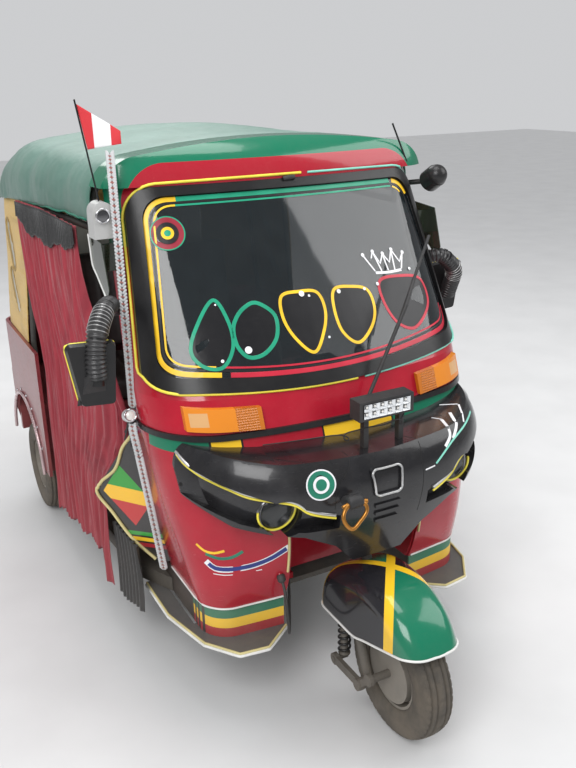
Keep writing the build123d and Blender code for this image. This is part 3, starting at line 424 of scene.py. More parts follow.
paint_red = finish_material(
    "red_paint", red, 0.20, coat=0.35, specular=0.22, grime=0.08, relief=sprayed, depth=0.0009,
    pattern=cowl_paint)
paint_plain_red = finish_material(
    "plain_red_paint", red, 0.20, coat=0.35, specular=0.22, grime=0.08, relief=sprayed, depth=0.0009)
paint_maroon = finish_material(
    "maroon_paint", maroon, 0.28, coat=0.35, specular=0.35, grime=0.28, relief=sprayed, depth=0.0012)
paint_header = finish_material(
    "header_paint", green, 0.18, coat=0.6, specular=0.35, grime=0.08, relief=sprayed, depth=0.0009,
    pattern=header_paint)
paint_guard = finish_material(
    "mudguard_paint", green, 0.18, coat=0.6, specular=0.35, grime=0.08, grime_height=0.4, relief=sprayed,
    depth=0.0006, pattern=guard_paint)
paint_board = finish_material(
    "board_paint", black, 0.42, grime=0.35, grime_height=0.5, relief=grained(380.0), depth=0.0004,
    pattern=board_paint)
paint_wing = finish_material("wing_paint", black, 0.30, coat=0.4, grime=0.15, pattern=wing_paint)
gloss_black = finish_material(
    "gloss_black", black, 0.22, coat=0.35, specular=0.35, grime=0.06, relief=sprayed, depth=0.0006,
    pattern=mask_paint)
matte_black = finish_material(
    "matte_black", (0.022, 0.022, 0.024), 0.55, grime=0.14, relief=grained(600.0), depth=0.0003)
rubber_black = finish_material(
    "rubber_black", (0.010, 0.010, 0.011), 0.28, grime=0.04, relief=grained(900.0), depth=0.00012,
    specular=0.4)
frame_black = finish_material(
    "frame_black", (0.030, 0.029, 0.028), 0.48, grime=0.45, relief=sprayed, depth=0.001)
cast_grey = finish_material(
    "cast_grey", (0.16, 0.155, 0.15), 0.6, metal=0.6, grime=0.5, relief=grained(300.0), depth=0.0006)
rim_grey = finish_material(
    "rim_grey", (0.30, 0.28, 0.25), 0.45, metal=0.5, grime=0.45, relief=sprayed, depth=0.001)
chrome = finish_material("chrome", (0.72, 0.72, 0.74), 0.12, metal=1.0, grime=0.10)
silver_trim = finish_material("silver_trim", (0.62, 0.62, 0.62), 0.28, metal=0.8, grime=0.08)
brass = finish_material("brass", (0.62, 0.34, 0.10), 0.28, metal=0.9, grime=0.15)
yellow_bead = finish_material("yellow_bead", (0.78, 0.66, 0.06), 0.35, grime=0.10)
gold_bead = finish_material("gold_bead", (0.62, 0.54, 0.24), 0.34, grime=0.16)
white_bead = finish_material("white_bead", (0.72, 0.72, 0.70), 0.35, grime=0.12)
mint_bead = finish_material("mint_bead", mint, 0.35, grime=0.10)
yellow_vinyl = finish_material("yellow_vinyl", yellow, 0.30, grime=0.05)
green_vinyl = finish_material("green_vinyl", (0.01, 0.30, 0.17), 0.30, grime=0.05)
red_vinyl = finish_material("red_vinyl", (0.52, 0.015, 0.04), 0.30, grime=0.05)
white_vinyl = finish_material("white_vinyl", (0.78, 0.78, 0.80), 0.35, grime=0.05)
black_vinyl = finish_material("black_vinyl", black, 0.30, grime=0.05)
hood_vinyl = finish_material(
    "hood_vinyl", green, 0.38, grime=0.16, relief=grained(420.0), depth=0.0004, sheen=0.1,
    pattern=hood_cloth)
gold_canvas = finish_material(
    "gold_canvas", yellow, 0.72, grime=0.22, grime_height=1.3, relief=woven(2600.0), depth=0.0005,
    sheen=0.2, pattern=canvas_cloth)
crimson_cloth = finish_material(
    "crimson_cloth", red, 0.78, grime=0.12, relief=woven(4200.0), depth=0.0003, sheen=0.15,
    pattern=curtain_cloth)
black_cloth = finish_material(
    "black_cloth", (0.014, 0.014, 0.015), 0.36, grime=0.10, relief=woven(3800.0), depth=0.0002, sheen=0.1)
black_gloss_cloth = finish_material(
    "black_gloss_cloth", (0.018, 0.018, 0.019), 0.24, grime=0.06, coat=0.4, relief=woven(3800.0),
    depth=0.0002)
seat_vinyl = finish_material(
    "seat_vinyl", (0.045, 0.030, 0.030), 0.42, grime=0.12, relief=grained(450.0), depth=0.0005)
tyre_rubber = finish_material(
    "tyre_rubber", black, 0.82, grime=0.35, grime_height=0.6, relief=grained(260.0), depth=0.0006,
    pattern=tyre_mud)
mirror_glass = finish_material("mirror_glass", (0.86, 0.88, 0.90), 0.03, metal=1.0, grime=0.04)
amber_lens = finish_material("amber_lens", (0.90, 0.30, 0.01), 0.16, coat=0.8, grime=0.06, specular=0.7)
clear_lens = finish_material("clear_lens", (0.78, 0.76, 0.72), 0.14, coat=0.8, grime=0.05, specular=0.8)
red_lens = finish_material("red_lens", (0.60, 0.012, 0.012), 0.16, coat=0.8, grime=0.10, specular=0.7)
lamp_white = finish_material("lamp_white", (0.80, 0.82, 0.84), 0.20, metal=0.6, grime=0.04)


def glass_material(name, tint, roughness, alpha):
    """Thin see-through pane: mostly alpha, with a sharp reflection."""
    return finish_material(name, tint, roughness, coat=0.6, grime=0.03, alpha=alpha, specular=0.6)


screen_glass = glass_material("screen_glass", (0.008, 0.013, 0.016), 0.05, 0.74)
smoked_sheet = glass_material("smoked_sheet", (0.022, 0.030, 0.018), 0.08, 0.90)
cloudy_window = glass_material("cloudy_window", (0.55, 0.55, 0.48), 0.30, 0.85)


def lamp_shell_colour(tree, place, x, y, z):
    """Silver pod and strap lamp, black siren."""
    return blend_colour(tree, x.above(0.0), (0.55, 0.55, 0.54), (0.020, 0.020, 0.022))


def tow_colour(tree, place, x, y, z):
    """Copper eye on a black block."""
    return blend_colour(tree, y.above(-0.999), (0.60, 0.27, 0.07), (0.015, 0.015, 0.016))


lamp_shell = finish_material(
    "lamp_shell", (0.5, 0.5, 0.5), 0.30, metal=0.35, grime=0.15, pattern=lamp_shell_colour)
tow_look = finish_material("tow_look", (0.5, 0.3, 0.1), 0.36, metal=0.5, grime=0.15, pattern=tow_colour)

cad_looks = {
    "front_cowl": paint_red, "wheel_well": paint_plain_red, "windshield_frame": paint_header,
    "rear_tub": paint_maroon, "seat_boxes": paint_maroon, "roof_header": paint_header,
    "mudguard": paint_guard, "step_boards": paint_board, "side_wings": paint_wing,
    "front_mask": gloss_black, "lamp_bar": matte_black, "dashboard": matte_black, "wiper": matte_black,
    "mirrors": rubber_black, "windshield_seal": rubber_black, "whips": rubber_black,
    "chassis": frame_black, "fork": frame_black, "handlebar": frame_black, "roof_frame": frame_black,
    "rear_suspension": frame_black, "engine_block": cast_grey, "rear_bumper": chrome,
    "rim_front": rim_grey, "rim_rear_left": rim_grey, "rim_rear_right": rim_grey,
    "side_lamps": lamp_shell, "tow_eye": tow_look, "mirror_glasses": mirror_glass,
    "turn_lamps": amber_lens, "tail_lamps": red_lens, "headlamps": clear_lens,
    "windshield_glass": screen_glass, "quarter_windows": cloudy_window, "wind_deflectors": smoked_sheet,
    "tyre_front": tyre_rubber, "tyre_rear_left": tyre_rubber, "tyre_rear_right": tyre_rubber,
    "front_spring": frame_black, "roof_hood": hood_vinyl, "quarter_canvas": gold_canvas,
    "curtain_right": crimson_cloth, "driver_seat": seat_vinyl, "passenger_seat": seat_vinyl,
    "strap_right": white_bead, "flag": red_vinyl, "cable_loop": matte_black,
}
for node_name, look in cad_looks.items():
    slots = nodes[node_name].data.materials
    slots.clear()
    slots.append(look)


# The vehicle's sides: way along X, word
sides = ((-1, "right"), (1, "left"))


# Ways of making pieces
def deselect():
    """Nothing selected, nothing active."""
    for item in bpy.context.selected_objects:
        item.select_set(False)
    bpy.context.view_layer.objects.active = None


def piece_from(name, verts, faces, look, body="body", smooth=True):
    """A piece from points and faces, riding on a body."""
    mesh = bpy.data.meshes.new(name)
    mesh.from_pydata([tuple(v) for v in verts], [], faces)
    mesh.validate()
    piece = bpy.data.objects.new(name, mesh)
    scene.collection.objects.link(piece)
    if smooth:
        mesh.shade_smooth()
    mesh.materials.append(look)
    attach(piece, body)
    return piece


def pick(piece):
    """Only this piece selected and active."""
    deselect()
    bpy.context.view_layer.objects.active = piece
    piece.select_set(True)


def merge_doubles(piece, threshold, face_out=False):
    """Close a mesh's seams and, if asked, turn its faces outward."""
    pick(piece)
    bpy.ops.object.mode_set(mode="EDIT")
    bpy.ops.mesh.select_all(action="SELECT")
    bpy.ops.mesh.remove_doubles(threshold=threshold)
    if face_out:
        bpy.ops.mesh.normals_make_consistent(inside=False)
    bpy.ops.object.mode_set(mode="OBJECT")


def apply_modifier(piece, kind, **values):
    """Add a modifier, set it and apply it."""
    modifier = piece.modifiers.new(kind.lower(), kind)
    for key, value in values.items():
        setattr(modifier, key, value)
    pick(piece)
    bpy.ops.object.modifier_apply(modifier=modifier.name)
    return piece


def surface_of(name):
    """A CAD node, or a piece of this script that took one's place."""
    return nodes[name] if name in nodes else bpy.data.objects[name]


def ray_hit(names, origin, direction):
    """The nearest point and normal on some CAD nodes along a ray, or None."""
    best = None
    for name in names:
        found, point, normal, face = surface_of(name).ray_cast(origin, direction)
        if found and (best is None or (point - origin).length < (best[0] - origin).length):
            best = (point, normal)
    return best


def smooth_path(points, step=0.006, closed=False):
    """Evenly spaced places on a smooth curve through points."""
    points = [Vector(point) for point in points]
    count = len(points)
    path = []
    for k in range(count if closed else count - 1):
        if closed:
            a, b, c, d = (points[(k + j) % count] for j in (-1, 0, 1, 2))
        else:
            a, b, c, d = (points[min(max(k + j, 0), count - 1)] for j in (-1, 0, 1, 2))
        pieces = max(2, int((c - b).length / step))
        for j in range(pieces):
            t = j / pieces
            path.append(
                0.5 * (
                    2 * b + (c - a) * t + (
                        2 * a - 5 * b + 4 * c - d) * t ** 2 + (3 * b - a - 3 * c + d) * t ** 3))
    if not closed:
        path.append(points[-1])
    return path


def snap(names, place):
    """The nearest point of some surfaces, and its normal."""
    best = None
    for name in names:
        found, near, normal, face = surface_of(name).closest_point_on_mesh(place)
        if found and (best is None or (near - place).length < (best[0] - place).length):
            best = (near, normal)
    return best


def raised(laid, lift):
    """(place, normal) pairs moved along their normals."""
    return [(place + normal * lift, normal) for place, normal in laid]


def trace(names, points, step=0.006, lift=0.0, closed=False, smooth=True):
    """A path snapped onto CAD nodes: (place, normal) pairs."""
    if smooth:
        path = smooth_path(points, step, closed)
    else:
        path = []
        for a, b in zip(points, points[1:] + (points[:1] if closed else [])):
            a, b = Vector(a), Vector(b)
            pieces = max(1, int((b - a).length / step))
            path += [a.lerp(b, j / pieces) for j in range(pieces)]
        if not closed:
            path.append(Vector(points[-1]))
    laid = [snap(names, place) for place in path]
    return raised(laid, lift)


def other_side(points):
    """The same points on the vehicle's other side."""
    return [(-x, y, z) for x, y, z in points]


def bead(name, laid, radius, look, body="body", closed=False, sink=0.4):
    """A round bead lying on a surface, along (place, normal) pairs. sink is its share below."""
    points = [place + normal * radius * (1 - sink) for place, normal in laid]
    return rod(name, points, radius, look, body, closed=closed, sides=2, smooth_curve=False)


def patch(name, laid_rim, look, slot, height=0.0008):
    """A flat field on a surface, filled inside a rim of (place, normal) pairs."""
    middle = sum((place for place, normal in laid_rim), Vector()) / len(laid_rim)
    out = sum((normal for place, normal in laid_rim), Vector()).normalized()
    verts = [place + normal * height for place, normal in laid_rim] + [middle + out * height * 1.5]
    last = len(laid_rim)
    turn = (laid_rim[0][0] - middle).cross(laid_rim[1][0] - middle).dot(out)
    faces = [(k, (k + 1) % last, last) if turn > 0 else ((k + 1) % last, k, last) for k in range(last)]
    return piece_from(name, verts, faces, look, smooth=False)


def join(name, pieces):
    """Several pieces of one body made into one."""
    deselect()
    for piece in pieces:
        piece.select_set(True)
    bpy.context.view_layer.objects.active = pieces[0]
    bpy.ops.object.join()
    whole = bpy.context.view_layer.objects.active
    whole.name = name
    return whole


def ribbon(name, laid, width, height, look, closed=False):
    """A flat strip on a surface, along (place, normal) pairs."""
    verts, faces = [], []
    count = len(laid)
    for k, (place, normal) in enumerate(laid):
        before = laid[(k - 1) % count if closed else max(k - 1, 0)][0]
        after = laid[(k + 1) % count if closed else min(k + 1, count - 1)][0]
        side = normal.cross(after - before).normalized() * (width / 2)
        rise = normal * height
        verts += [place - side, place - side * 0.9 + rise, place + side * 0.9 + rise, place + side]
    spans = count if closed else count - 1
    for k in range(spans):
        a, b = 4 * k, 4 * ((k + 1) % count)
        faces += [(a + j, a + (j + 1) % 4, b + (j + 1) % 4, b + j) for j in range(4)]
    if not closed:
        faces += [(3, 2, 1, 0), tuple(4 * (count - 1) + j for j in range(4))]
    return piece_from(name, verts, faces, look, smooth=False)


def rod(name, points, radius, look, body="body", closed=False, sides=4, smooth_curve=True):
    """A round bar or bead along points."""
    data = bpy.data.curves.new(name, "CURVE")
    data.dimensions = "3D"
    data.bevel_depth = radius
    data.bevel_resolution = sides
    data.use_fill_caps = not closed
    line = data.splines.new("NURBS" if smooth_curve else "POLY")
    line.points.add(len(points) - 1)
    for target, point in zip(line.points, points):
        target.co = (*point, 1.0)
    line.use_cyclic_u = closed
    if smooth_curve:
        line.order_u = 3
        line.use_endpoint_u = not closed
        line.resolution_u = 4
    piece = bpy.data.objects.new(name, data)
    scene.collection.objects.link(piece)
    pick(piece)
    bpy.ops.object.convert(target="MESH")
    piece = bpy.context.view_layer.objects.active
    piece.name = name
    piece.data.materials.clear()
    piece.data.materials.append(look)
    piece.data.shade_smooth()
    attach(piece, body)
    return piece


def grid(name, rows, columns, point, look, thickness):
    """A cloth whose points come from point(u, v), both from 0 to 1."""
    verts = [point(c / (columns - 1), r / (rows - 1)) for r in range(rows) for c in range(columns)]
    faces = []
    for r in range(rows - 1):
        for c in range(columns - 1):
            low, high = r * columns + c, (r + 1) * columns + c
            faces.append((low, low + 1, high + 1, high))
    piece = piece_from(name, verts, faces, look)
    return apply_modifier(piece, "SOLIDIFY", thickness=thickness, offset=0.0)


def lathe(name, profile, centre, axis, look, body="body", steps=48):
    """A turned piece: profile is (radius, along) pairs, spun about an axis through centre."""
    way = Vector(axis).normalized()
    across = way.orthogonal().normalized()
    other = way.cross(across)
    verts, faces = [], []
    for k in range(steps):
        turn = 2 * math.pi * k / steps
        out = across * math.cos(turn) + other * math.sin(turn)
        verts += [Vector(centre) + out * r + way * t for r, t in profile]
    count = len(profile)
    for k in range(steps):
        a, b = k * count, (k + 1) % steps * count
        faces += [(a + j, b + j, b + j + 1, a + j + 1) for j in range(count - 1)]
    piece = piece_from(name, verts, faces, look, body)
    merge_doubles(piece, 0.00002, face_out=True)
    return piece


# The armoured cable: the route of the source, in metres
cable_radius = 0.0045
cable_route = [
    (-0.262, -0.822, 0.452), (-0.263, -0.842, 0.430), (-0.262, -0.852, 0.385), (-0.258, -0.850, 0.335),
    (-0.250, -0.838, 0.285), (-0.236, -0.812, 0.242), (-0.214, -0.772, 0.222), (-0.190, -0.728, 0.230),
    (-0.172, -0.695, 0.262), (-0.164, -0.680, 0.308), (-0.160, -0.672, 0.345),
]


def add_cable():
    """The free cable that loops from the nose into the wheel well."""
    data = bpy.data.curves.new("cable", "CURVE")
    data.dimensions = "3D"
    data.bevel_depth = cable_radius
    data.bevel_resolution = 4
    line = data.splines.new("NURBS")
    line.points.add(len(cable_route) - 1)
    for target, point in zip(line.points, cable_route):
        target.co = (*point, 1.0)
    line.order_u = 3
    line.use_endpoint_u = True
    line.resolution_u = 12
    cable = bpy.data.objects.new("cable", data)
    scene.collection.objects.link(cable)
    data.materials.append(matte_black)
    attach(cable, "body")
    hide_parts("cable_loop")


add_cable()


# Soft pieces
def lump(place, scale, seed):
    """Smooth noise from about -0.5 to 0.5."""
    return noise.noise(Vector(place) * scale + Vector((seed, seed * 1.7, -seed)))


hoop_places = (-0.195, 0.25, 0.72, 1.095)


def thin(piece, most):
    """Collapse a dense mesh to about this many triangles."""
    piece.data.calc_loop_triangles()
    count = len(piece.data.loop_triangles)
    if count > most:
        apply_modifier(piece, "DECIMATE", ratio=most / count)


def cloth_blank(name, node_name, look):
    """A closed copy of a CAD node's mesh that takes the node's place."""
    piece = bpy.data.objects.new(name, nodes[node_name].data.copy())
    scene.collection.objects.link(piece)
    piece.data.materials.clear()
    piece.data.materials.append(look)
    merge_doubles(piece, 0.00005)
    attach(piece, "body")
    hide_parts(node_name)
    return piece


def add_hood():
    """The soft hood: the frame's form, sagging between the hoops."""
    hood = cloth_blank("hood", "roof_hood", hood_vinyl)
    apply_modifier(hood, "REMESH", mode="VOXEL", voxel_size=0.0065)
    apply_modifier(hood, "CORRECTIVE_SMOOTH", factor=0.6, iterations=6, use_only_smooth=True)
    thin(hood, 160000)
    middle = Vector((0, 0.4, 1.35))
    free_span, deepest_sag = 0.2, 0.007
    for vertex in hood.data.vertices:
        x, y, z = vertex.co
        gap = min(abs(y - hoop) for hoop in hoop_places)
        sag = min(gap / free_span, 1.0) ** 1.4 * deepest_sag
        edge = max(0.0, 1.0 - (z - 1.40) / 0.08)
        ripple = lump((x * 0.4, y, z * 0.5), 9.0, 3.1) * 0.005 + lump((x, y, z), 26.0, 7.7) * 0.0016
        ripple += lump((0, y * 2.2, z * 0.3), 12.0, 5.5) * 0.006 * edge
        out = Vector((x, (y - middle.y) * 0.25, z - middle.z)).normalized()
        vertex.co += out * (ripple - sag)
    hood.data.shade_smooth()


add_hood()

# Edges of the door curtain: height, front, rear
curtain_edges = [
    (0.168, -0.192, 0.548), (0.300, -0.192, 0.548), (0.550, -0.215, 0.548), (0.700, -0.330, 0.548),
    (0.790, -0.375, 0.548), (0.900, -0.385, 0.560), (1.000, -0.330, 0.600), (1.180, -0.235, 0.660),
    (1.300, -0.195, 0.690), (1.480, -0.192, 0.700)]
curtain_x = -0.613
door_front_y = -0.192
hood_foot_z = 1.460


def curtain_span(z):
    """Front and rear edge of the curtain at a height."""
    for (z0, front0, rear0), (z1, front1, rear1) in zip(curtain_edges, curtain_edges[1:]):
        if z <= z1:
            t = (z - z0) / (z1 - z0)
            t = max(0.0, t)
            return front0 + (front1 - front0) * t, rear0 + (rear1 - rear0) * t
    return curtain_edges[-1][1:]


def hood_edge(y):
    """Height of the hood's lower edge at a place along the roof."""
    return hood_foot_z - max(0.0, y - 0.2) * 0.052


def add_curtain():
    """Crimson door curtain in fine pleats, black gathered cloth over it and behind its foot."""

    def cloth(u, v):
        near = door_front_y + u * 0.74
        foot = 0.186 if near < -0.150 else 0.298 - (near + 0.15) * 0.186
        foot += 0.010 * math.sin(u * 23.0) + 0.006 * math.sin(u * 61.0)
        top = hood_edge(near) - 0.006
        z = foot + (1 - v) * (top - foot)
        front, rear = curtain_span(z)
        y = front + u * (rear - front)
        tuck = max(0.0, -0.215 - y)
        fold = 0.0060 * math.sin(
            2 * math.pi * (u * 15.0 + 0.8 * math.sin(u * 9.0) + 0.5 * math.sin(z * 2.2 + u * 5.0)))
        fold += 0.0026 * math.sin(2 * math.pi * (u * 37.0 + 0.7 * math.sin(z * 4.0 + u * 12.0)))
        fold += lump((0.0, u * 9.0, z * 0.7), 4.0, 1.3) * 0.012 + lump(
            (0.0, u * 26.0, z * 1.2), 3.0, 4.3) * 0.0060
        drape = 0.35 + 0.65 * min(1.0, v * 4.0)
        return (curtain_x + tuck * 0.32 + fold * drape, y, z)

    curtain = grid("curtain", 110, 400, cloth, crimson_cloth, thickness=0.0012)
    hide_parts("curtain_right")

    def valance_cloth(u, v):
        y = door_front_y + u * 0.885
        drop = 0.055 + 0.060 * math.sin(
            u * math.pi) ** 0.8 + 0.010 * math.sin(u * 19.0) + 0.004 * math.sin(u * 57.0)
        z = hood_edge(y) - 0.002 - v * drop
        fold = math.sin((u * 61.0 + 1.6 * math.sin(u * 17.0)) * 2 * math.pi) * 0.0034 * (0.25 + 0.75 * v)
        return (curtain_x - 0.0105 + fold, y, z)

    valance = grid("valance", 14, 620, valance_cloth, black_gloss_cloth, thickness=0.0008)

    def inner_cloth(u, v):
        y = -0.405 + u * 0.215
        foot = 0.172 + 0.016 * math.sin(u * 5.0 + 1.0)
        z = foot + (1 - v) * (0.44 - foot)
        fold = math.sin((u * 7.0 + 0.3 * math.sin(z * 9.0)) * 2 * math.pi) * 0.006
        return (-0.572 - 0.014 * u + fold, y + 0.01 * math.sin(z * 14.0), z)

    inner = grid("inner_cloth", 30, 90, inner_cloth, black_cloth, thickness=0.001)


add_curtain()


def add_canvas():
    """Golden canvas round the rear quarters, with bound windows."""
    canvas = cloth_blank("canvas", "quarter_canvas", gold_canvas)
    apply_modifier(canvas, "REMESH", mode="VOXEL", voxel_size=0.0036)
    thin(canvas, 120000)
    for vertex in canvas.data.vertices:
        x, y, z = vertex.co
        ripple = lump((x, y, z * 0.35), 11.0, 2.2) * 0.004 + lump((x, y, z), 40.0, 4.4) * 0.0008
        out = Vector((x, y - 0.95, 0)).normalized()
        vertex.co += out * min(ripple, 0.002)
    canvas.data.shade_smooth()


add_canvas()


def cushion_blank(name, low, high, rounding):
    """A rounded box from low to high, with its size and middle."""
    deselect()
    size = [b - a for a, b in zip(low, high)]
    middle = [(a + b) / 2 for a, b in zip(low, high)]
    bpy.ops.mesh.primitive_cube_add(size=1, location=middle)
    cushion = bpy.context.view_layer.objects.active
    cushion.name = name
    cushion.scale = size
    bpy.ops.object.transform_apply(location=True, rotation=False, scale=True)
    apply_modifier(cushion, "BEVEL", width=min(size) * rounding, segments=4)
    apply_modifier(cushion, "REMESH", mode="VOXEL", voxel_size=0.008)
    cushion.data.materials.append(seat_vinyl)
    cushion.data.shade_smooth()
    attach(cushion, "body")
    return cushion, size, middle


def add_seat(name, source_name, low, high, bulge, channels):
    """A crowned cushion with sewn channels."""
    cushion, size, middle = cushion_blank(name, low, high, 0.32)
    half = [s / 2 for s in size]
    for vertex in cushion.data.vertices:
        along, across, up = [(vertex.co[i] - middle[i]) / half[i] for i in range(3)]
        crown = (1 - along ** 4) * (1 - across ** 4)
        groove = math.cos(along * channels * math.pi) ** 8
        push = crown * bulge - groove * bulge * 1.1 * (1 - across ** 6)
        if up > 0:
            vertex.co.z += push - bulge * 0.4
        vertex.co += Vector((0, 0, lump(vertex.co, 14.0, 6.0) * 0.003))
    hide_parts(source_name)


def add_seat_back(name, low, high, lean, channels):
    """An upright cushion that leans back, with upright channels."""
    cushion, size, middle = cushion_blank(name, low, high, 0.35)
    for vertex in cushion.data.vertices:
        along = (vertex.co.x - middle[0]) / size[0] * 2
        up = (vertex.co.z - middle[2]) / size[2] * 2
        crown = (1 - along ** 4) * (1 - up ** 4) * 0.006
        groove = math.cos(along * channels * math.pi) ** 8 * 0.007 * (1 - up ** 6)
        if vertex.co.y < middle[1]:
            vertex.co.y -= crown - groove
        vertex.co.y += (vertex.co.z - low[2]) * lean + lump(vertex.co, 14.0, 6.0) * 0.003


add_seat("driver_cushion", "driver_seat", (-0.236, -0.336, 0.524), (0.236, 0.036, 0.598), 0.008, 4)
add_seat("bench_cushion", "passenger_seat", (-0.436, 0.584, 0.564), (0.436, 1.02, 0.668), 0.010, 6)
add_seat_back("driver_back", (-0.206, -0.006, 0.606), (0.206, 0.044, 0.896), 0.17, 3)
add_seat_back("bench_back", (-0.436, 1.028, 0.676), (0.436, 1.098, 1.115), 0.12, 6)

# Middle of the side strap, from the roof's corner down
strap_rows = [
    (-0.536, -0.362, 1.676), (-0.572, -0.488, 0.960), (-0.586, -0.512, 0.908), (-0.572, -0.512, 0.800),
    (-0.544, -0.490, 0.616), (-0.509, -0.466, 0.372)]


def add_strap():
    """A flat herringbone plait from the roof's corner to the nose's foot."""
    route = smooth_path(strap_rows, 0.0042)
    side = Vector((math.cos(math.radians(-35)), math.sin(math.radians(-35)), 0))
    front = Vector((side.y, -side.x, 0))
    verts, faces, looks = [], [], []
    rings, spokes = 7, 6
    leaf_length, leaf_width, leaf_depth = 0.0098, 0.0040, 0.0030
    for k in range(0, len(route) - 2, 2):
        down = (route[k + 2] - route[k]).normalized()
        for way in (-1, 1):
            along = (down * 0.78 + side * way * -0.62).normalized()
            across = along.cross(front).normalized()
            middle = route[k] + side * way * 0.0066 + front * 0.0012
            start = len(verts)
            for a in range(rings):
                t = -1 + 2 * a / (rings - 1)
                wide = math.sqrt(max(0.0, 1 - t ** 4)) + 0.02
                for b in range(spokes):
                    turn = 2 * math.pi * b / spokes
                    verts.append(
                        middle + along * t * leaf_length + across * math.cos(
                            turn) * wide * leaf_width + front * math.sin(turn) * wide * leaf_depth)
            for a in range(rings - 1):
                for b in range(spokes):
                    c = (b + 1) % spokes
                    lower, upper = start + a * spokes, start + (a + 1) * spokes
                    faces.append((lower + b, lower + c, upper + c, upper + b))
                    inner_end = a >= 4
                    looks.append(1 if inner_end and (k // 2) % 2 else 2 if inner_end and b > 3 else 0)
    strap = piece_from("strap_plait", verts, faces, braid_white)
    strap.data.materials.append(braid_pink)
    strap.data.materials.append(braid_dark)
    for face, look in zip(strap.data.polygons, looks):
        face.material_index = look
    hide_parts("strap_right")
    core = [(place, front) for place in route[::3]]
    ribbon("strap_core", core, 0.019, 0.0016, braid_dark)


braid_white = finish_material(
    "braid_white", (0.56, 0.57, 0.58), 0.7, grime=0.2, relief=woven(5200.0), depth=0.0003)
braid_pink = finish_material(
    "braid_pink", (0.42, 0.17, 0.15), 0.7, grime=0.2, relief=woven(5200.0), depth=0.0003)
braid_dark = finish_material(
    "braid_dark", (0.07, 0.065, 0.07), 0.7, grime=0.2, relief=woven(5200.0), depth=0.0003)
add_strap()


def flag_cloth(tree, place, x, y, z):
    """Red, white and red fields."""
    across = (x + 0.6086) * 0.906 - (y + 0.346) * 0.423
    return blend_colour(tree, across.between(0.034, 0.082), (0.62, 0.02, 0.03), (0.80, 0.80, 0.80))


flag_fabric = finish_material(
    "flag_fabric", red, 0.65, grime=0.05, relief=woven(5200.0), depth=0.0002, sheen=0.2, pattern=flag_cloth)


def add_flag():
    """A small flag that droops from the whip."""
    side = Vector((math.cos(math.radians(-25)), math.sin(math.radians(-25)), 0))
    out = Vector((side.y, -side.x, 0))
    foot = Vector((-0.6086, -0.346, 1.760))

    def cloth(u, v):
        staff_top, staff_foot = 0.050, -0.072
        free_top, free_foot = -0.024, -0.058
        high = staff_top + (free_top - staff_top) * u
        low = staff_foot + (free_foot - staff_foot) * u
        up = high + (low - high) * v
        start = -0.0052 + v * 0.0194
        reach = start + (0.110 - start) * u
        wave = math.sin(u * 7.0 + v * 2.0) * 0.006 * u
        return foot + side * reach + out * (wave - 0.001) + Vector((0, 0, up))

    flag = grid("flag_sheet", 24, 32, cloth, flag_fabric, thickness=0.0008)
    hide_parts("flag")


add_flag()


# Vinyl on glass: its thickness, and how far it lies off the glass
film = 0.0004
film_lift = 0.0006

# Windshield: its outline in the plane of its four corners, as in the source
pane_foot = Vector((0.556, -0.545, 1.010))
pane_head = Vector((0.500, -0.320, 1.564))
pane_rise = math.hypot(pane_head.y - pane_foot.y, pane_head.z - pane_foot.z)
pane_up = Vector((0, pane_head.y - pane_foot.y, pane_head.z - pane_foot.z)) / pane_rise
pane_out = Vector((0, -pane_up.z, pane_up.y))


def pane_loop(inset):
    """The windshield's outline set in from the seal's outer edge, as (across, up) in its plane."""
    foot_half, head_half = pane_foot.x - inset, pane_head.x - inset
    head = pane_rise - inset
    sides = [[(foot_half * t, inset - 0.071 * (1 - t * t)) for t in [k / 20 - 1 for k in range(41)]],
             [(foot_half + (head_half - foot_half) * t, inset + (head - inset) * t)
              for t in [k / 24 for k in range(25)]],
             [(head_half * t, head - 0.014 * (1 - t * t)) for t in [1 - k / 20 for k in range(41)]],
             [(-head_half - (foot_half - head_half) * t, head - (head - inset) * t)
              for t in [k / 24 for k in range(25)]]]
    radius = 0.085 - inset * 0.5
    loop = []
    for k, side in enumerate(sides):
        corner = Vector(side[-1])
        following = sides[(k + 1) % 4]
        start = Vector(side[0])
        loop += [p for p in side if min((Vector(p) - corner).length, (Vector(p) - start).length) > radius]
        before = corner + (Vector(side[-6]) - corner).normalized() * radius
        after = corner + (Vector(following[5]) - corner).normalized() * radius
        pull = corner * 0.88 + (before + after) * 0.06
        for t in [j / 9 for j in range(10)]:
            loop.append(tuple((1 - t) ** 2 * before + 2 * t * (1 - t) * pull + t * t * after))
    return loop


def pane_spot(names, across, up, lift=0.0):
    """A place and normal on the windshield under a point of its plane."""
    start = Vector((across, pane_foot.y, pane_foot.z)) + pane_up * up + pane_out * 0.5
    hit = ray_hit(names, start, -pane_out)
    if hit is None:
        return None
    normal = hit[1] if hit[1].dot(pane_out) > 0 else -hit[1]
    return hit[0] + normal * lift, normal


def pane_runs(inset, keep, names, lift=0.0):
    """Unbroken runs of the outline where keep(across, up) holds, laid on the windshield."""
    loop = pane_loop(inset)
    flags = [keep(*point) for point in loop]
    if all(flags):
        return [[spot for spot in (pane_spot(names, *point, lift) for point in loop) if spot]]
    first = next(k for k in range(len(loop)) if flags[k] and not flags[k - 1])
    runs, run = [], []
    for k in range(len(loop) + 1):
        index = (first + k) % len(loop)
        if k < len(loop) and flags[index]:
            spot = pane_spot(names, *loop[index], lift)
            if spot:
                run.append(spot)
        elif run:
            if len(run) > 1:
                runs.append(run)
            run = []
    return runs


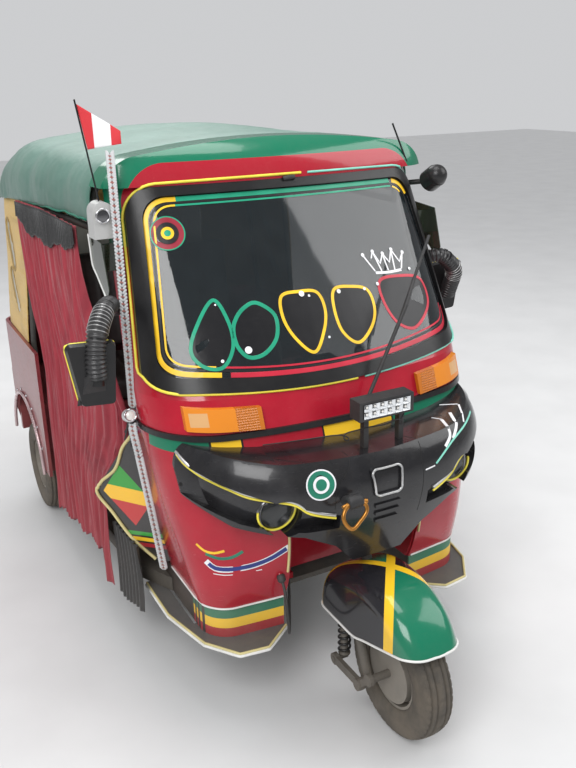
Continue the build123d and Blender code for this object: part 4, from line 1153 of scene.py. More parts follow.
def add_windshield_trims():
    """Beads round the seal, and the coloured edge stripes on the glass."""
    around = ["windshield_seal", "windshield_frame", "front_cowl", "roof_header"]
    for k, run in enumerate(pane_runs(-0.0025, lambda a, b: a < 0.075, around)):
        bead(f"seal_bead_yellow_{k}", run, 0.0042, yellow_bead)
    for k, run in enumerate(pane_runs(-0.0025, lambda a, b: a >= 0.075, around)):
        bead(f"seal_bead_mint_{k}", run, 0.0036, mint_bead)
    glass = ["windshield_glass"]
    # Edge stripes: part of the outline, look
    parts = [(lambda a, b: a < -0.35 and not (b > 0.56 and a > -0.38), yellow_vinyl, "yellow"),
             (lambda a, b: b > 0.50 and -0.38 <= a < 0.40, green_vinyl, "green"),
             (lambda a, b: b < 0.12 and a >= -0.35, red_vinyl, "red"),
             (lambda a, b: b >= 0.50 and a >= 0.40, yellow_vinyl, "far_yellow")]
    for keep, look, word in parts:
        for inset, width, label in ((0.0475, 0.015, "band"), (0.0675, 0.006, "line")):
            for k, run in enumerate(pane_runs(inset, keep, glass, film_lift)):
                ribbon(f"glass_{label}_{word}_{k}", run, width, film, look)
    for inset, width in ((0.0395, 0.002), (0.0590, 0.007)):
        for k, run in enumerate(pane_runs(inset, lambda a, b: True, glass, film_lift)):
            ribbon(f"glass_black_{int(inset * 10000)}_{k}", run, width, 0.0003, black_vinyl,
                   closed=True)


add_windshield_trims()


def field(name, names, laid_rim, look, slot, rings=5):
    """A field that follows a curved surface, filled inside a rim of (place, normal) pairs."""
    middle = sum((place for place, normal in laid_rim), Vector()) / len(laid_rim)
    count = len(laid_rim)
    verts, faces = [], []
    for ring in range(rings):
        share = 1 - ring / rings
        around = [middle.lerp(place, share) for place, normal in laid_rim]
        for place in around:
            near = snap(names, place)
            verts.append(near[0] + near[1] * film)
    near = snap(names, middle)
    verts.append(near[0] + near[1] * film)
    turn = (verts[0] - verts[-1]).cross(verts[1] - verts[-1]).dot(near[1])
    for ring in range(rings - 1):
        for k in range(count):
            n = (k + 1) % count
            a, b = ring * count, (ring + 1) * count
            faces.append((a + k, a + n, b + n, b + k) if turn > 0 else (b + k, b + n, a + n, a + k))
    last = (rings - 1) * count
    for k in range(count):
        n = (k + 1) % count
        faces.append(
            (last + k, last + n, len(verts) - 1) if turn > 0 else (last + n, last + k, len(verts) - 1))
    return piece_from(name, verts, faces, look, smooth=False)


ink_black = finish_material("ink_black", (0.006, 0.006, 0.008), 0.32, grime=0.03)


def outline_on_glass(name, points, width, look):
    """A closed outlined shape on the windshield."""
    laid = trace(["windshield_glass"], points, 0.007, film_lift, closed=True)
    field(name + "_ground", ["windshield_glass"], laid, ink_black, "clear_glass")
    ribbon(name, raised(laid, film), width, film, look, closed=True)


def disc_rim(names, centre, radius, lift, count=36, across=(1, 0, 0)):
    """Rim points of a round patch on CAD nodes round a place."""
    middle = Vector(centre)
    across = Vector(across)
    normal = snap(names, middle)[1]
    first = (across - normal * across.dot(normal)).normalized()
    second = normal.cross(first)
    rim = []
    for k in range(count):
        turn = 2 * math.pi * k / count
        rim.append(snap(names, middle + first * radius * math.cos(turn) + second * radius * math.sin(turn)))
    return raised(rim, lift)


def ring_sticker(name, names, centre, rings, slope, slot):
    """A round sticker of plain rings, (radius, look) each. The smaller ones lie higher."""
    for radius, look in rings:
        rim = disc_rim(names, centre, radius, 0.0022 - radius * slope)
        patch(f"{name}_{int(radius * 1000)}", rim, look, slot)


# Plain outlined shapes on the glass: name, look, width of the line, points a little before the glass
glass_shapes = [
    ("drop_green", green_vinyl, 0.011,
     [(-0.330, -0.572, 1.272), (-0.300, -0.607, 1.205), (-0.306, -0.642, 1.140), (-0.350, -0.667, 1.096),
      (-0.405, -0.652, 1.104), (-0.428, -0.617, 1.140), (-0.398, -0.592, 1.200)]),
    ("oval_green", green_vinyl, 0.012,
     [(-0.206, -0.592, 1.250), (-0.165, -0.612, 1.225), (-0.154, -0.628, 1.196), (-0.167, -0.652, 1.155),
      (-0.199, -0.666, 1.125), (-0.235, -0.670, 1.110), (-0.270, -0.662, 1.112), (-0.292, -0.643, 1.143),
      (-0.292, -0.619, 1.185), (-0.275, -0.605, 1.216), (-0.245, -0.595, 1.240)]),
    ("shield_yellow", yellow_vinyl, 0.010,
     [(-0.120, -0.592, 1.256), (-0.060, -0.592, 1.264), (0.000, -0.600, 1.256), (0.012, -0.630, 1.205),
      (-0.012, -0.662, 1.150), (-0.060, -0.690, 1.100), (-0.108, -0.667, 1.142), (-0.132, -0.630, 1.200)]),
    ("pebble_yellow", yellow_vinyl, 0.010,
     [(0.062, -0.598, 1.256), (0.125, -0.597, 1.258), (0.182, -0.602, 1.240), (0.190, -0.632, 1.186),
      (0.160, -0.662, 1.138), (0.098, -0.687, 1.104), (0.052, -0.667, 1.140), (0.044, -0.629, 1.204)]),
    ("shield_red", red_vinyl, 0.010,
     [(0.240, -0.584, 1.258), (0.325, -0.572, 1.262), (0.410, -0.565, 1.240), (0.425, -0.597, 1.180),
      (0.385, -0.632, 1.135), (0.322, -0.660, 1.108), (0.262, -0.652, 1.136), (0.232, -0.617, 1.200)]),
]
# White dots among them: place, radius
glass_dots = [
    ((-0.262, -0.647, 1.125), 0.011), ((-0.236, -0.654, 1.112), 0.005), ((-0.345, -0.648, 1.106), 0.005),
    ((-0.053, -0.590, 1.253), 0.009), ((-0.030, -0.595, 1.245), 0.004), ((0.075, -0.592, 1.243), 0.007),
    ((0.170, -0.590, 1.238), 0.005), ((0.225, -0.582, 1.246), 0.006), ((0.372, -0.548, 1.272), 0.005),
    ((0.395, -0.590, 1.170), 0.006), ((0.0, -0.665, 1.128), 0.004), ((-0.325, -0.565, 1.25), 0.003),
]
# The crown: its band, its points and where each stands on the band
crown_band = [(0.232, -0.563, 1.277), (0.285, -0.560, 1.273), (0.338, -0.550, 1.272)]
crown_tips = [
    (0.200, -0.533, 1.332), (0.241, -0.526, 1.338), (0.279, -0.531, 1.330), (0.318, -0.519, 1.336),
    (0.362, -0.520, 1.322)]
crown_feet = [
    (0.232, -0.560, 1.282), (0.258, -0.558, 1.279), (0.285, -0.556, 1.278), (0.312, -0.552, 1.276),
    (0.340, -0.548, 1.275)]


def add_glass_shapes():
    """Plain outlined shapes, dots and a round ring sticker on the windshield."""
    glass = ["windshield_glass"]
    for name, look, width, points in glass_shapes:
        outline_on_glass("outline_" + name, points, width, look)
    dots = [patch("dot", disc_rim(glass, place, radius, 0.0018, 16), white_vinyl, "clear_glass")
            for place, radius in glass_dots]
    join("glass_dots", dots)
    centre = (-0.409, -0.4375, 1.448)
    rings = ((0.0520, red_dark_vinyl), (0.0330, black_vinyl), (0.0190, yellow_vinyl), (0.0100, green_vinyl))
    ring_sticker("ring_sticker", glass, centre, rings, 0.02, "clear_glass")
    edge = disc_rim(glass, centre, 0.0505, 0.0016)
    ribbon("ring_sticker_edge", edge, 0.004, film, green_vinyl, closed=True)


def add_crown():
    """A crown on the windshield: a band, and five rays with balls and bows between them."""
    glass = ["windshield_glass"]

    def strip(name, points, step, width, smooth):
        laid = trace(glass, points, step, film_lift, smooth=smooth)
        return ribbon(name, laid, width, film, white_vinyl)

    strip("crown_base", crown_band, 0.008, 0.009, True)
    pieces = []
    for tip, foot in zip(crown_tips, crown_feet):
        pieces.append(strip("crown_ray", [foot, tip], 0.01, 0.0055, False))
        ball = disc_rim(glass, tip, 0.0065, 0.0008, 14)
        pieces.append(patch("crown_ball", ball, white_vinyl, "clear_glass"))
    for left, right in zip(crown_tips, crown_tips[1:]):
        low = tuple((a + b) / 2 for a, b in zip(left, right))
        low = (low[0], low[1] - 0.016, low[2] - 0.034)
        pieces.append(strip("crown_bow", [left, low, right], 0.01, 0.0050, False))
    join("crown", pieces)


red_dark_vinyl = finish_material("red_dark_vinyl", (0.28, 0.012, 0.03), 0.35, grime=0.05)
add_glass_shapes()
add_crown()

# Mask: brow strips, claw strips, badge, sticker and screws


def settle(names, points, step=0.008, closed=False):
    """A smooth line through points that are snapped onto CAD nodes: (place, normal) pairs."""
    held = [snap(names, Vector(point)) for point in points]
    path = smooth_path([place for place, normal in held], step, closed)
    turns = smooth_path([normal for place, normal in held], 10.0, closed)
    share = (len(turns) - 1) / (len(path) - 1)
    laid = []
    for k, place in enumerate(path):
        low = min(int(k * share), len(turns) - 2)
        normal = turns[low].lerp(turns[low + 1], k * share - low).normalized()
        laid.append((place, normal))
    return laid


brow_line = [
    (-0.520, -0.668, 0.872), (-0.502, -0.710, 0.852), (-0.478, -0.745, 0.830), (-0.453, -0.790, 0.813),
    (-0.428, -0.830, 0.803), (-0.382, -0.885, 0.790), (-0.291, -0.945, 0.760), (-0.240, -0.962, 0.742),
    (-0.168, -0.978, 0.716)]


def add_mask_trims():
    """Silver and yellow brow strips, white claws, the badge's rim, ring sticker and panel seams."""
    mask = ["front_mask"]
    for side, points in (("right", brow_line), ("left", other_side(brow_line))):
        laid = settle(mask, points, 0.010)
        bead(f"brow_silver_{side}", laid, 0.0048, silver_trim, sink=0.5)
        lower = [(place + Vector((0, -0.002, -0.0085)), normal) for place, normal in laid]
        bead(f"brow_yellow_{side}", lower, 0.0032, yellow_bead, sink=0.3)
    claws = [
        (
            [
                (0.278, -0.867, 0.871), (0.262, -0.915, 0.868), (0.256, -0.938, 0.849),
                (0.226, -0.956, 0.828)], 0.010),
        (
            [
                (0.329, -0.842, 0.875), (0.310, -0.885, 0.871), (0.296, -0.916, 0.862),
                (0.265, -0.941, 0.840)], 0.010),
        ([(0.386, -0.813, 0.881), (0.356, -0.867, 0.876), (0.341, -0.896, 0.861)], 0.006),
        ([(0.340, -0.775, 0.876), (0.386, -0.809, 0.880)], 0.004),
        ([(0.262, -0.838, 0.871), (0.280, -0.865, 0.871)], 0.004),
        ([(0.175, -0.975, 0.786), (0.138, -0.980, 0.783)], 0.004),]
    pieces = [ribbon("claw", trace(mask, points, 0.008), width, 0.0008, white_vinyl)
              for points, width in claws]
    join("claw_strips", pieces)
    mint_line = [
        (0.409, -0.843, 0.863), (0.342, -0.900, 0.854), (0.257, -0.946, 0.834), (0.180, -0.974, 0.791)]
    ribbon("mint_strip", trace(mask, mint_line, 0.008), 0.006, 0.0012, mint_bead)
    rim = []
    corners = [(-0.050, 0.826), (0.050, 0.826), (0.0425, 0.750), (-0.0425, 0.750)]
    for k, (x, z) in enumerate(corners):
        following = corners[(k + 1) % 4]
        for t in (0.12, 0.3, 0.5, 0.7, 0.88):
            start = Vector((x + (following[0] - x) * t, -1.3, z + (following[1] - z) * t))
            hit = ray_hit(mask, start, Vector((0, 1, 0)))
            rim.append(hit[0])
    rod("badge_rim", smooth_path(rim, 0.004, closed=True), 0.0036, silver_trim, closed=True,
        sides=2, smooth_curve=False)
    rings = (
        (0.0440, white_vinyl), (0.0395, green_dark_vinyl), (0.0240, white_vinyl),
        (0.0160, green_dark_vinyl))
    ring_sticker("mask_sticker", mask, (-0.205, -0.964, 0.814), rings, 0.03, "black_trim")
    for k, points in enumerate(([(-0.100, -0.900, 0.866), (-0.104, -0.944, 0.860), (-0.118, -0.963, 0.838),
                                 (-0.160, -0.972, 0.790), (-0.170, -0.970, 0.700)],
                                [(0.110, -0.900, 0.866), (0.133, -0.945, 0.862), (0.129, -0.975, 0.822),
                                 (0.129, -0.985, 0.753), (0.120, -0.975, 0.650)])):
        ribbon(f"mask_seam_{k}", trace(mask, points, 0.01), 0.0022, 0.0003, seam_black)
    for side in (-1, 1):
        rim = disc_rim(mask, (side * 0.511, -0.686, 0.773), 0.006, 0.0005, 14, across=(0, 1, 0))
        patch(f"mask_screw_{side}", rim, seam_black, "black_trim")


green_dark_vinyl = finish_material("green_dark_vinyl", (0.01, 0.18, 0.11), 0.35, grime=0.05)
seam_black = finish_material("seam_black", (0.004, 0.004, 0.004), 0.7, grime=0.02)
add_mask_trims()

# Middle of the rear wheel arches
rear_axle_y = 0.925
arch_z = 0.263

# Side trims: right side points, repeated on the left
wing_edge = [
    (-0.560, -0.438, 0.870), (-0.569, -0.431, 0.843), (-0.588, -0.393, 0.792), (-0.606, -0.350, 0.706),
    (-0.652, -0.268, 0.612), (-0.618, -0.305, 0.528), (-0.575, -0.350, 0.440), (-0.520, -0.410, 0.378)]
board_edge = [
    (-0.536, -0.350, 0.255), (-0.536, -0.560, 0.255), (-0.492, -0.750, 0.255), (-0.420, -0.850, 0.255),
    (-0.330, -0.862, 0.255), (-0.235, -0.790, 0.255)]
foot_line = [
    (-0.474, -0.450, 0.362), (-0.475, -0.541, 0.362), (-0.474, -0.650, 0.362), (-0.460, -0.728, 0.362),
    (-0.424, -0.758, 0.362), (-0.386, -0.772, 0.362), (-0.339, -0.781, 0.362), (-0.240, -0.790, 0.362)]
guard_edge = [
    (-0.110, -0.780, 0.301), (-0.112, -0.907, 0.301), (-0.110, -0.985, 0.300), (-0.107, -1.032, 0.312),
    (-0.102, -1.100, 0.328), (-0.098, -1.163, 0.345), (-0.090, -1.225, 0.362), (-0.050, -1.250, 0.364),
    (0.0, -1.258, 0.364)]
well_edge = [
    (-0.239, -0.832, 0.628), (-0.238, -0.832, 0.580), (-0.239, -0.830, 0.530), (-0.241, -0.828, 0.470)]


def arch_place(x, radius, angle):
    """A place round the middle of a wheel arch, at an angle in degrees from behind."""
    turn = math.radians(angle)
    return Vector((x, rear_axle_y + radius * math.cos(turn), arch_z + radius * math.sin(turn)))


def add_side_trims():
    """Edge trims of the wings, step boards, cowl foot, wheel arches and mudguard."""
    for side, way in sides:
        place = (lambda points: points) if side < 0 else other_side
        bead(
            f"wing_trim_{way}", trace(["side_wings"], place(wing_edge), 0.008), 0.0055, gold_bead,
            sink=0.5)
        laid = trace(["step_boards"], place(board_edge), 0.01, smooth=False)
        bead(f"board_trim_white_{way}", laid, 0.0050, white_bead, sink=0.5)
        upper = [(spot + Vector((0, 0, 0.0075)), normal) for spot, normal in laid]
        bead(f"board_trim_gold_{way}", upper, 0.0038, gold_bead, sink=0.9)
        bead(
            f"foot_trim_{way}", trace(["front_cowl"], place(foot_line), 0.01), 0.0032, white_bead)
        bead(
            f"well_trim_{way}", trace(["front_cowl"], place(well_edge), 0.01), 0.0040, gold_bead)
        arch = [arch_place(side * 0.646, 0.289, angle) for angle in range(8, 178, 6)]
        bead(
            f"arch_trim_{way}", [(place, Vector((side, 0, 0))) for place in arch], 0.0075, pink_trim)
    whole = guard_edge + other_side(guard_edge[-2::-1])
    bead("guard_trim", trace(["mudguard"], whole, 0.01), 0.0036, white_bead, "steering", sink=0.5)


pink_trim = finish_material("pink_trim", (0.60, 0.45, 0.46), 0.25, metal=0.6, grime=0.12)
add_side_trims()


# Lamps
def lens_ribs(name):
    """Relief group: fine upright and level ridges on a lens."""
    tree, given, leave = new_group(name, [("Scale", "Float", 900.0)], [("Height", "Float", None)])
    place, x, y, z = place_of(tree)
    inner = x.size().between(0.285, 0.348)
    ridges = (x * given["Scale"]).math("SINE") + (z * given["Scale"]).math("SINE")
    plug(tree, ridges * inner * 0.5, leave.inputs["Height"])
    return tree


def turn_lens(tree, place, x, y, z):
    """Amber, darker in the ribbed half, clear at the outer end."""
    wide = x.size()
    colour = blend_colour(tree, wide.below(0.348), (0.70, 0.22, 0.010), (0.52, 0.145, 0.006))
    return blend_colour(
        tree, wide.between(0.425, 0.472) * z.between(0.944, 0.982), colour, (0.64, 0.36, 0.15))


turn_look = finish_material(
    "turn_lens", (0.8, 0.3, 0.01), 0.14, coat=0.9, grime=0.05,
    relief=(lens_ribs("lens_ribs"), {"scale": 900.0}), depth=0.0012, pattern=turn_lens)
nodes["turn_lamps"].data.materials[0] = turn_look
lamp_x = 0.304
lamp_z = 0.722
lamp_front_y = -0.888


def add_headlamps():
    """Round headlamps: a chrome bowl under a domed lens, in a yellow ring."""
    for side, way in sides:
        centre = (side * lamp_x, lamp_front_y, lamp_z)
        bowl = [
            (0.0575, 0.035), (0.0575, -0.004), (0.054, -0.004), (0.050, 0.006), (0.030, 0.026),
            (0.008, 0.032), (0.0, 0.032)]
        bowl_piece = lathe(f"lamp_bowl_{way}", bowl, centre, (0, 1, 0), dark_chrome)
        if side < 0:
            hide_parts("headlamps")
        lens = [
            (0.0, -0.016), (0.020, -0.0145), (0.038, -0.010), (0.050, -0.004), (0.0525, 0.0),
            (0.0525, 0.002), (0.0, -0.010)]
        lathe(f"lamp_lens_{way}", lens, centre, (0, 1, 0), lens_glass)
        ring = []
        for k in range(25):
            turn = math.radians(170 + 200 * k / 24)
            ring.append((side * (0.308 - 0.0595 * math.cos(turn)), -0.894, 0.728 + 0.0560 * math.sin(turn)))
        rod(f"lamp_ring_{way}", ring, 0.0034, yellow_bead, sides=2, smooth_curve=False)


dark_chrome = finish_material("dark_chrome", (0.20, 0.20, 0.21), 0.18, metal=1.0, grime=0.15)
lens_glass = glass_material("lens_glass", (0.035, 0.038, 0.040), 0.08, 0.55)
add_headlamps()
bar_x = 0.034
bar_front_y = -0.923
bar_z = 0.982


def add_lamp_bar():
    """Two rows of six lamps in silver cups, and the thin wire under the bar."""
    verts, faces = [], []
    cups = []
    column_pitch, row_pitch = 0.0262, 0.0215
    for row in range(2):
        for column in range(6):
            cx = bar_x + (column - 2.5) * column_pitch
            cz = bar_z + (row - 0.5) * row_pitch
            start = len(verts)
            for half_x, half_z, y in ((0.0126, 0.0104, -0.0075), (0.0050, 0.0045, 0.0)):
                verts += [(cx + a * half_x, bar_front_y + y, cz + b * half_z)
                          for a, b in ((-1, -1), (1, -1), (1, 1), (-1, 1))]
            for k in range(4):
                n = (k + 1) % 4
                faces.append((start + k, start + 4 + k, start + 4 + n, start + n))
            faces.append((start + 4, start + 7, start + 6, start + 5))
            cups.append((cx, cz))
    piece_from("led_cups", verts, faces, lamp_white, smooth=False)
    bulbs = []
    for cx, cz in cups:
        dome = [
            (0.0042 * math.cos(a), -0.0042 * math.sin(a)) for a in [math.pi / 2 * k / 4 for k in range(5)]]
        bulbs.append(
            lathe(
                "led", dome, (cx, bar_front_y - 0.0004, cz), (0, 1, 0), clear_lens, steps=10))
    join("led_domes", bulbs)
    wire = [
        (-0.300, -0.800, 0.892), (-0.230, -0.835, 0.900), (-0.160, -0.870, 0.910), (-0.110, -0.900, 0.920),
        (-0.085, -0.915, 0.912), (-0.088, -0.918, 0.902), (-0.100, -0.912, 0.906), (-0.095, -0.905, 0.922),
        (-0.060, -0.920, 0.930), (-0.020, -0.930, 0.936), (0.030, -0.932, 0.932), (0.070, -0.930, 0.942),
        (0.085, -0.932, 0.930), (0.080, -0.935, 0.920), (0.070, -0.932, 0.932), (0.095, -0.925, 0.950)]
    rod("loose_wire", wire, 0.0019, rubber_black, sides=1)


add_lamp_bar()

# Mirrors: ribbed necks and edge trims
neck_routes = {
    "right": [
        (-0.575, -0.388, 1.238), (-0.600, -0.438, 1.262), (-0.635, -0.502, 1.262), (-0.672, -0.555, 1.222),
        (-0.688, -0.572, 1.160), (-0.690, -0.572, 1.095)],
    "left": [
        (0.575, -0.388, 1.262), (0.608, -0.404, 1.264), (0.650, -0.404, 1.236), (0.684, -0.391, 1.198),
        (0.698, -0.358, 1.145), (0.702, -0.333, 1.098)],}
mirror_rim = [(-0.078, 0.088), (0.072, 0.096), (0.042, -0.092), (-0.062, -0.100)]


def ring_round(middle, ahead, radius, count=24):
    """Points of a circle square to a direction."""
    across = ahead.cross(Vector((0.3, 0.9, 0.1))).normalized()
    other = ahead.cross(across)
    turns = [2 * math.pi * k / count for k in range(count)]
    return [middle + (across * math.cos(turn) + other * math.sin(turn)) * radius for turn in turns]


def add_necks():
    """Ribbed bellows on the mirrors' goosenecks, with thin silver rings round their upper half that paint
    the highlights on the lit rib crests.
    """
    step, rib_pitch = 0.0016, 0.0105
    spokes = 24
    for way, route in neck_routes.items():
        path = smooth_path(route, step)
        last = len(path) - 1
        ribs = max(10, int(len(path) * step / rib_pitch))
        verts, faces = [], []
        for k, point in enumerate(path):
            ahead = (path[min(k + 1, last)] - path[max(k - 1, 0)]).normalized()
            t = k / last
            wave = math.sin(t * ribs * 2 * math.pi)
            verts += ring_round(point, ahead, 0.0235 + 0.0040 * min(1.0, t * 2.0) + 0.0024 * wave, spokes)
        for k in range(last):
            for j in range(spokes):
                n = (j + 1) % spokes
                faces.append((k * spokes + j, k * spokes + n, (k + 1) * spokes + n, (k + 1) * spokes + j))
        faces.append(tuple(reversed(range(spokes))))
        faces.append(tuple(last * spokes + j for j in range(spokes)))
        piece_from(f"neck_bellows_{way}", verts, faces, bellows_rubber)
        # Painted highlights: thin silver rings on the rib crests where light catches them.
        wires = []
        for rib in range(int(ribs * 0.42), int(ribs * 0.68)):
            t = (rib + 0.25) / ribs
            k = min(int(t * last), last - 1)
            ahead = (path[k + 1] - path[k]).normalized()
            circle = ring_round(path[k], ahead, 0.0265 + 0.0040 * min(1.0, t * 2.0))
            wires.append(
                rod(
                    "neck_wire", circle, 0.0010, silver_trim, closed=True, sides=1,
                    smooth_curve=False))
        join(f"neck_wires_{way}", wires)


# Mirrors: word, side, middle of the glass
mirror_places = [("right", -1, (-0.700, -0.5478, 1.105)), ("left", 1, (0.700, -0.3088, 1.130))]


def add_mirror_trims():
    """A yellow edge round each mirror, and the tapered foot behind it."""
    for way, side, middle in mirror_places:
        middle = Vector(middle)
        loop = [middle + Vector((side * x * 0.955, -0.001, z * 0.965)) for x, z in mirror_rim]
        rounded = []
        for k in range(4):
            corner, before, after = loop[k], loop[k - 1], loop[(k + 1) % 4]
            a = corner + (before - corner).normalized() * 0.020
            b = corner + (after - corner).normalized() * 0.020
            for t in [j / 6 for j in range(7)]:
                pull = 0.55 * math.sin(math.pi * t)
                rounded.append(a.lerp(corner, pull) * (1 - t) + b.lerp(corner, pull) * t)
        rod(f"mirror_trim_{way}", rounded, 0.0034, yellow_bead, closed=True, sides=2,
            smooth_curve=False)
        foot = middle + Vector((side * 0.004, -0.026, -0.052))
        top = middle + Vector((side * -0.008, -0.034, 0.012))
        wide = [(-0.046, -0.034), (0.040, -0.034), (0.032, 0.040), (-0.030, 0.040)]
        narrow = [(-0.016, -0.012), (0.016, -0.012), (0.016, 0.012), (-0.016, 0.012)]
        verts = [foot + Vector((x, 0.016, z)) for x, z in wide]
        verts += [top + Vector((x, y, 0)) for x, y in narrow]
        faces = [(0, 1, 2, 3), (7, 6, 5, 4), (0, 4, 5, 1), (1, 5, 6, 2), (2, 6, 7, 3), (3, 7, 4, 0)]
        piece_from(f"mirror_foot_{way}", verts, faces, matte_black, smooth=False)


bellows_rubber = finish_material(
    "bellows_rubber", (0.030, 0.030, 0.032), 0.30, grime=0.10, relief=grained(900.0), depth=0.0001,
    specular=0.6)
add_necks()
add_mirror_trims()


# Front spring and wheels
def add_front_spring():
    """A wound spring round its damper, in place of the plain rings."""
    x, y, foot, top = -0.080, -0.885, 0.1625, 0.3615
    coil_radius, turns, seat = 0.0178, 8.5, 0.006
    points = []
    for k in range(int(turns * 20) + 1):
        t = k / (turns * 20)
        angle = 2 * math.pi * turns * t
        up = foot + seat + (top - foot - 2 * seat) * t
        points.append((x + coil_radius * math.cos(angle), y + coil_radius * math.sin(angle), up))
    coil = rod(
        "spring_coil", points, 0.0038, rubber_black, "steering", sides=2, smooth_curve=False)
    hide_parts("front_spring")
    damper = [
        (0.0, foot), (0.019, foot), (0.019, foot + 0.005), (0.0125, foot + 0.006), (0.0125, 0.275),
        (0.007, 0.277), (0.007, top - 0.006), (0.019, top - 0.005), (0.019, top), (0.0, top)]
    lathe("spring_damper", damper, (x, y, 0), (0, 0, 1), frame_black, "steering", steps=24)


add_front_spring()
axle_z = 0.203
# Name, x, y, body
wheels = [("front", 0.0, -1.075, "wheel_front"), ("rear_right", -0.575, rear_axle_y, "wheel_rear_right"),
          ("rear_left", 0.575, rear_axle_y, "wheel_rear_left")]


def add_tyres():
    """Tyres with ribbed treads, lugged shoulders and a ring on each wall."""
    half = [
        (0.0355, 0.1125), (0.0400, 0.1135), (0.0455, 0.1230), (0.0490, 0.1400), (0.0500, 0.1420),
        (0.0507, 0.1560), (0.0500, 0.1700), (0.0480, 0.1810), (0.0460, 0.1870), (0.0430, 0.1925),
        (0.0390, 0.1965), (0.0350, 0.1985), (0.0335, 0.1945), (0.0300, 0.1945), (0.0285, 0.2000),
        (0.0180, 0.2020), (0.0165, 0.1970), (0.0130, 0.1970), (0.0115, 0.2025), (0.0, 0.2030)]
    section = half + [(-across, radius) for across, radius in half[-2::-1]]
    count = len(section)
    steps = 200
    lug_depth, groove_depth = 0.0035, 0.0025
    for name, x, y, body in wheels:
        verts, faces = [], []
        for k in range(steps):
            turn = 2 * math.pi * k / steps
            cut = lug_depth if k % 4 == 0 else 0.0
            for across, radius in section:
                lug = cut if radius > 0.180 and abs(across) > 0.034 else 0.0
                lug += groove_depth if k % 8 == 0 and abs(across) < 0.012 and radius > 0.202 else 0.0
                reach = radius - lug
                verts.append((x + across, y + reach * math.cos(turn), axle_z + reach * math.sin(turn)))
        for k in range(steps):
            a, b = k * count, (k + 1) % steps * count
            faces += [(a + j, a + j + 1, b + j + 1, b + j) for j in range(count - 1)]
            faces.append((a + count - 1, a, b, b + count - 1))
        tyre = piece_from(f"tread_{name}", verts, faces, tyre_rubber, body)
        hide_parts(f"tyre_{name}")


add_tyres()


def add_tow_loop():
    """A copper loop in a black collar, in place of the plain eye."""
    loop = [
        (-0.166, -1.035, 0.772), (-0.186, -1.045, 0.748), (-0.178, -1.052, 0.722), (-0.158, -1.056, 0.704),
        (-0.138, -1.054, 0.722), (-0.112, -1.050, 0.742), (-0.106, -1.045, 0.762), (-0.122, -1.034, 0.776)]
    piece = rod("tow_loop", loop, 0.0058, copper, closed=True, sides=3)
    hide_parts("tow_eye")
    rod(
        "tow_pin", [(-0.176, -1.032, 0.766), (-0.140, -1.030, 0.778), (-0.100, -1.032, 0.768)], 0.0075,
        copper, sides=3)
    collar = [(0.0, -0.022), (0.016, -0.022), (0.019, -0.017), (0.019, 0.017), (0.016, 0.022), (0.0, 0.022)]
    lathe("tow_collar", collar, (-0.138, -1.030, 0.776), (0.96, 0.0, 0.05), matte_black,
          steps=24)
    rod(
        "tow_arm", [(-0.138, -1.030, 0.776), (-0.138, -1.000, 0.766), (-0.139, -0.965, 0.752)], 0.0135,
        matte_black, sides=3)


copper = finish_material("copper", (0.50, 0.22, 0.045), 0.30, metal=0.85, grime=0.12)
add_tow_loop()


def islands(mesh):
    """The loose parts of a mesh, each as its points."""
    whole = bmesh.new()
    whole.from_mesh(mesh)
    bmesh.ops.remove_doubles(whole, verts=whole.verts, dist=0.00005)
    left_over = set(whole.verts)
    parts = []
    while left_over:
        start = left_over.pop()
        part, queue = [start], [start]
        while queue:
            for edge in queue.pop().link_edges:
                for vertex in edge.verts:
                    if vertex in left_over:
                        left_over.discard(vertex)
                        part.append(vertex)
                        queue.append(vertex)
        parts.append([vertex.co.copy() for vertex in part])
    whole.free()
    return parts


def outline_of(spots):
    """The convex outline round flat points."""
    hull = []
    for order in (spots, spots[::-1]):
        chain = []
        for y, z in order:
            while len(chain) > 1:
                (y0, z0), (y1, z1) = chain[-2:]
                if (y1 - y0) * (z - z0) - (z1 - z0) * (y - y0) > 0:
                    break
                chain.pop()
            chain.append((y, z))
        hull += chain[:-1]
    return hull


deflector_edge = [
    (-0.262, 1.440), (-0.271, 1.395), (-0.280, 1.350), (-0.318, 1.325), (-0.352, 1.302), (-0.380, 1.283),
    (-0.402, 1.266)]


def add_upper_trims():
    """Trims of the wind deflectors, piping on the hood's edge and borders of the quarter windows."""
    bpy.context.view_layer.update()
    for side, way in sides:
        edge = smooth_path([(side * 0.5945, y, z) for y, z in deflector_edge], 0.012)
        rod(f"deflector_trim_{way}", edge, 0.0030, white_bead, sides=2, smooth_curve=False)
        edge = [(side * 0.60, y, hood_edge(y)) for y in [-0.190 + 0.04 * k for k in range(34)]]
        laid = trace(["hood"], edge, 0.02)
        bead(f"hood_piping_{way}", laid, 0.0042, piping_green, sink=0.6)
    for index, part in enumerate(islands(nodes["quarter_windows"].data)):
        spots = sorted({(round(place.y, 4), round(place.z, 4)) for place in part})
        side = 1 if sum(place.x for place in part) > 0 else -1
        hull = outline_of(spots)
        centre_y = sum(y for y, z in hull) / len(hull)
        centre_z = sum(z for y, z in hull) / len(hull)
        rim = [(side * 0.62, centre_y + (y - centre_y) * 1.10, centre_z + (z - centre_z) * 1.05)
               for y, z in hull]
        if len(rim) > 3:
            laid = trace(["canvas", "quarter_windows"], rim, 0.01, closed=True, smooth=False)
            ribbon(f"window_border_{index}", laid, 0.010, 0.0022, border_tan, closed=True)


piping_green = finish_material("piping_green", (0.02, 0.20, 0.13), 0.35, grime=0.10)
border_tan = finish_material("border_tan", (0.36, 0.24, 0.085), 0.55, grime=0.10)
add_upper_trims()


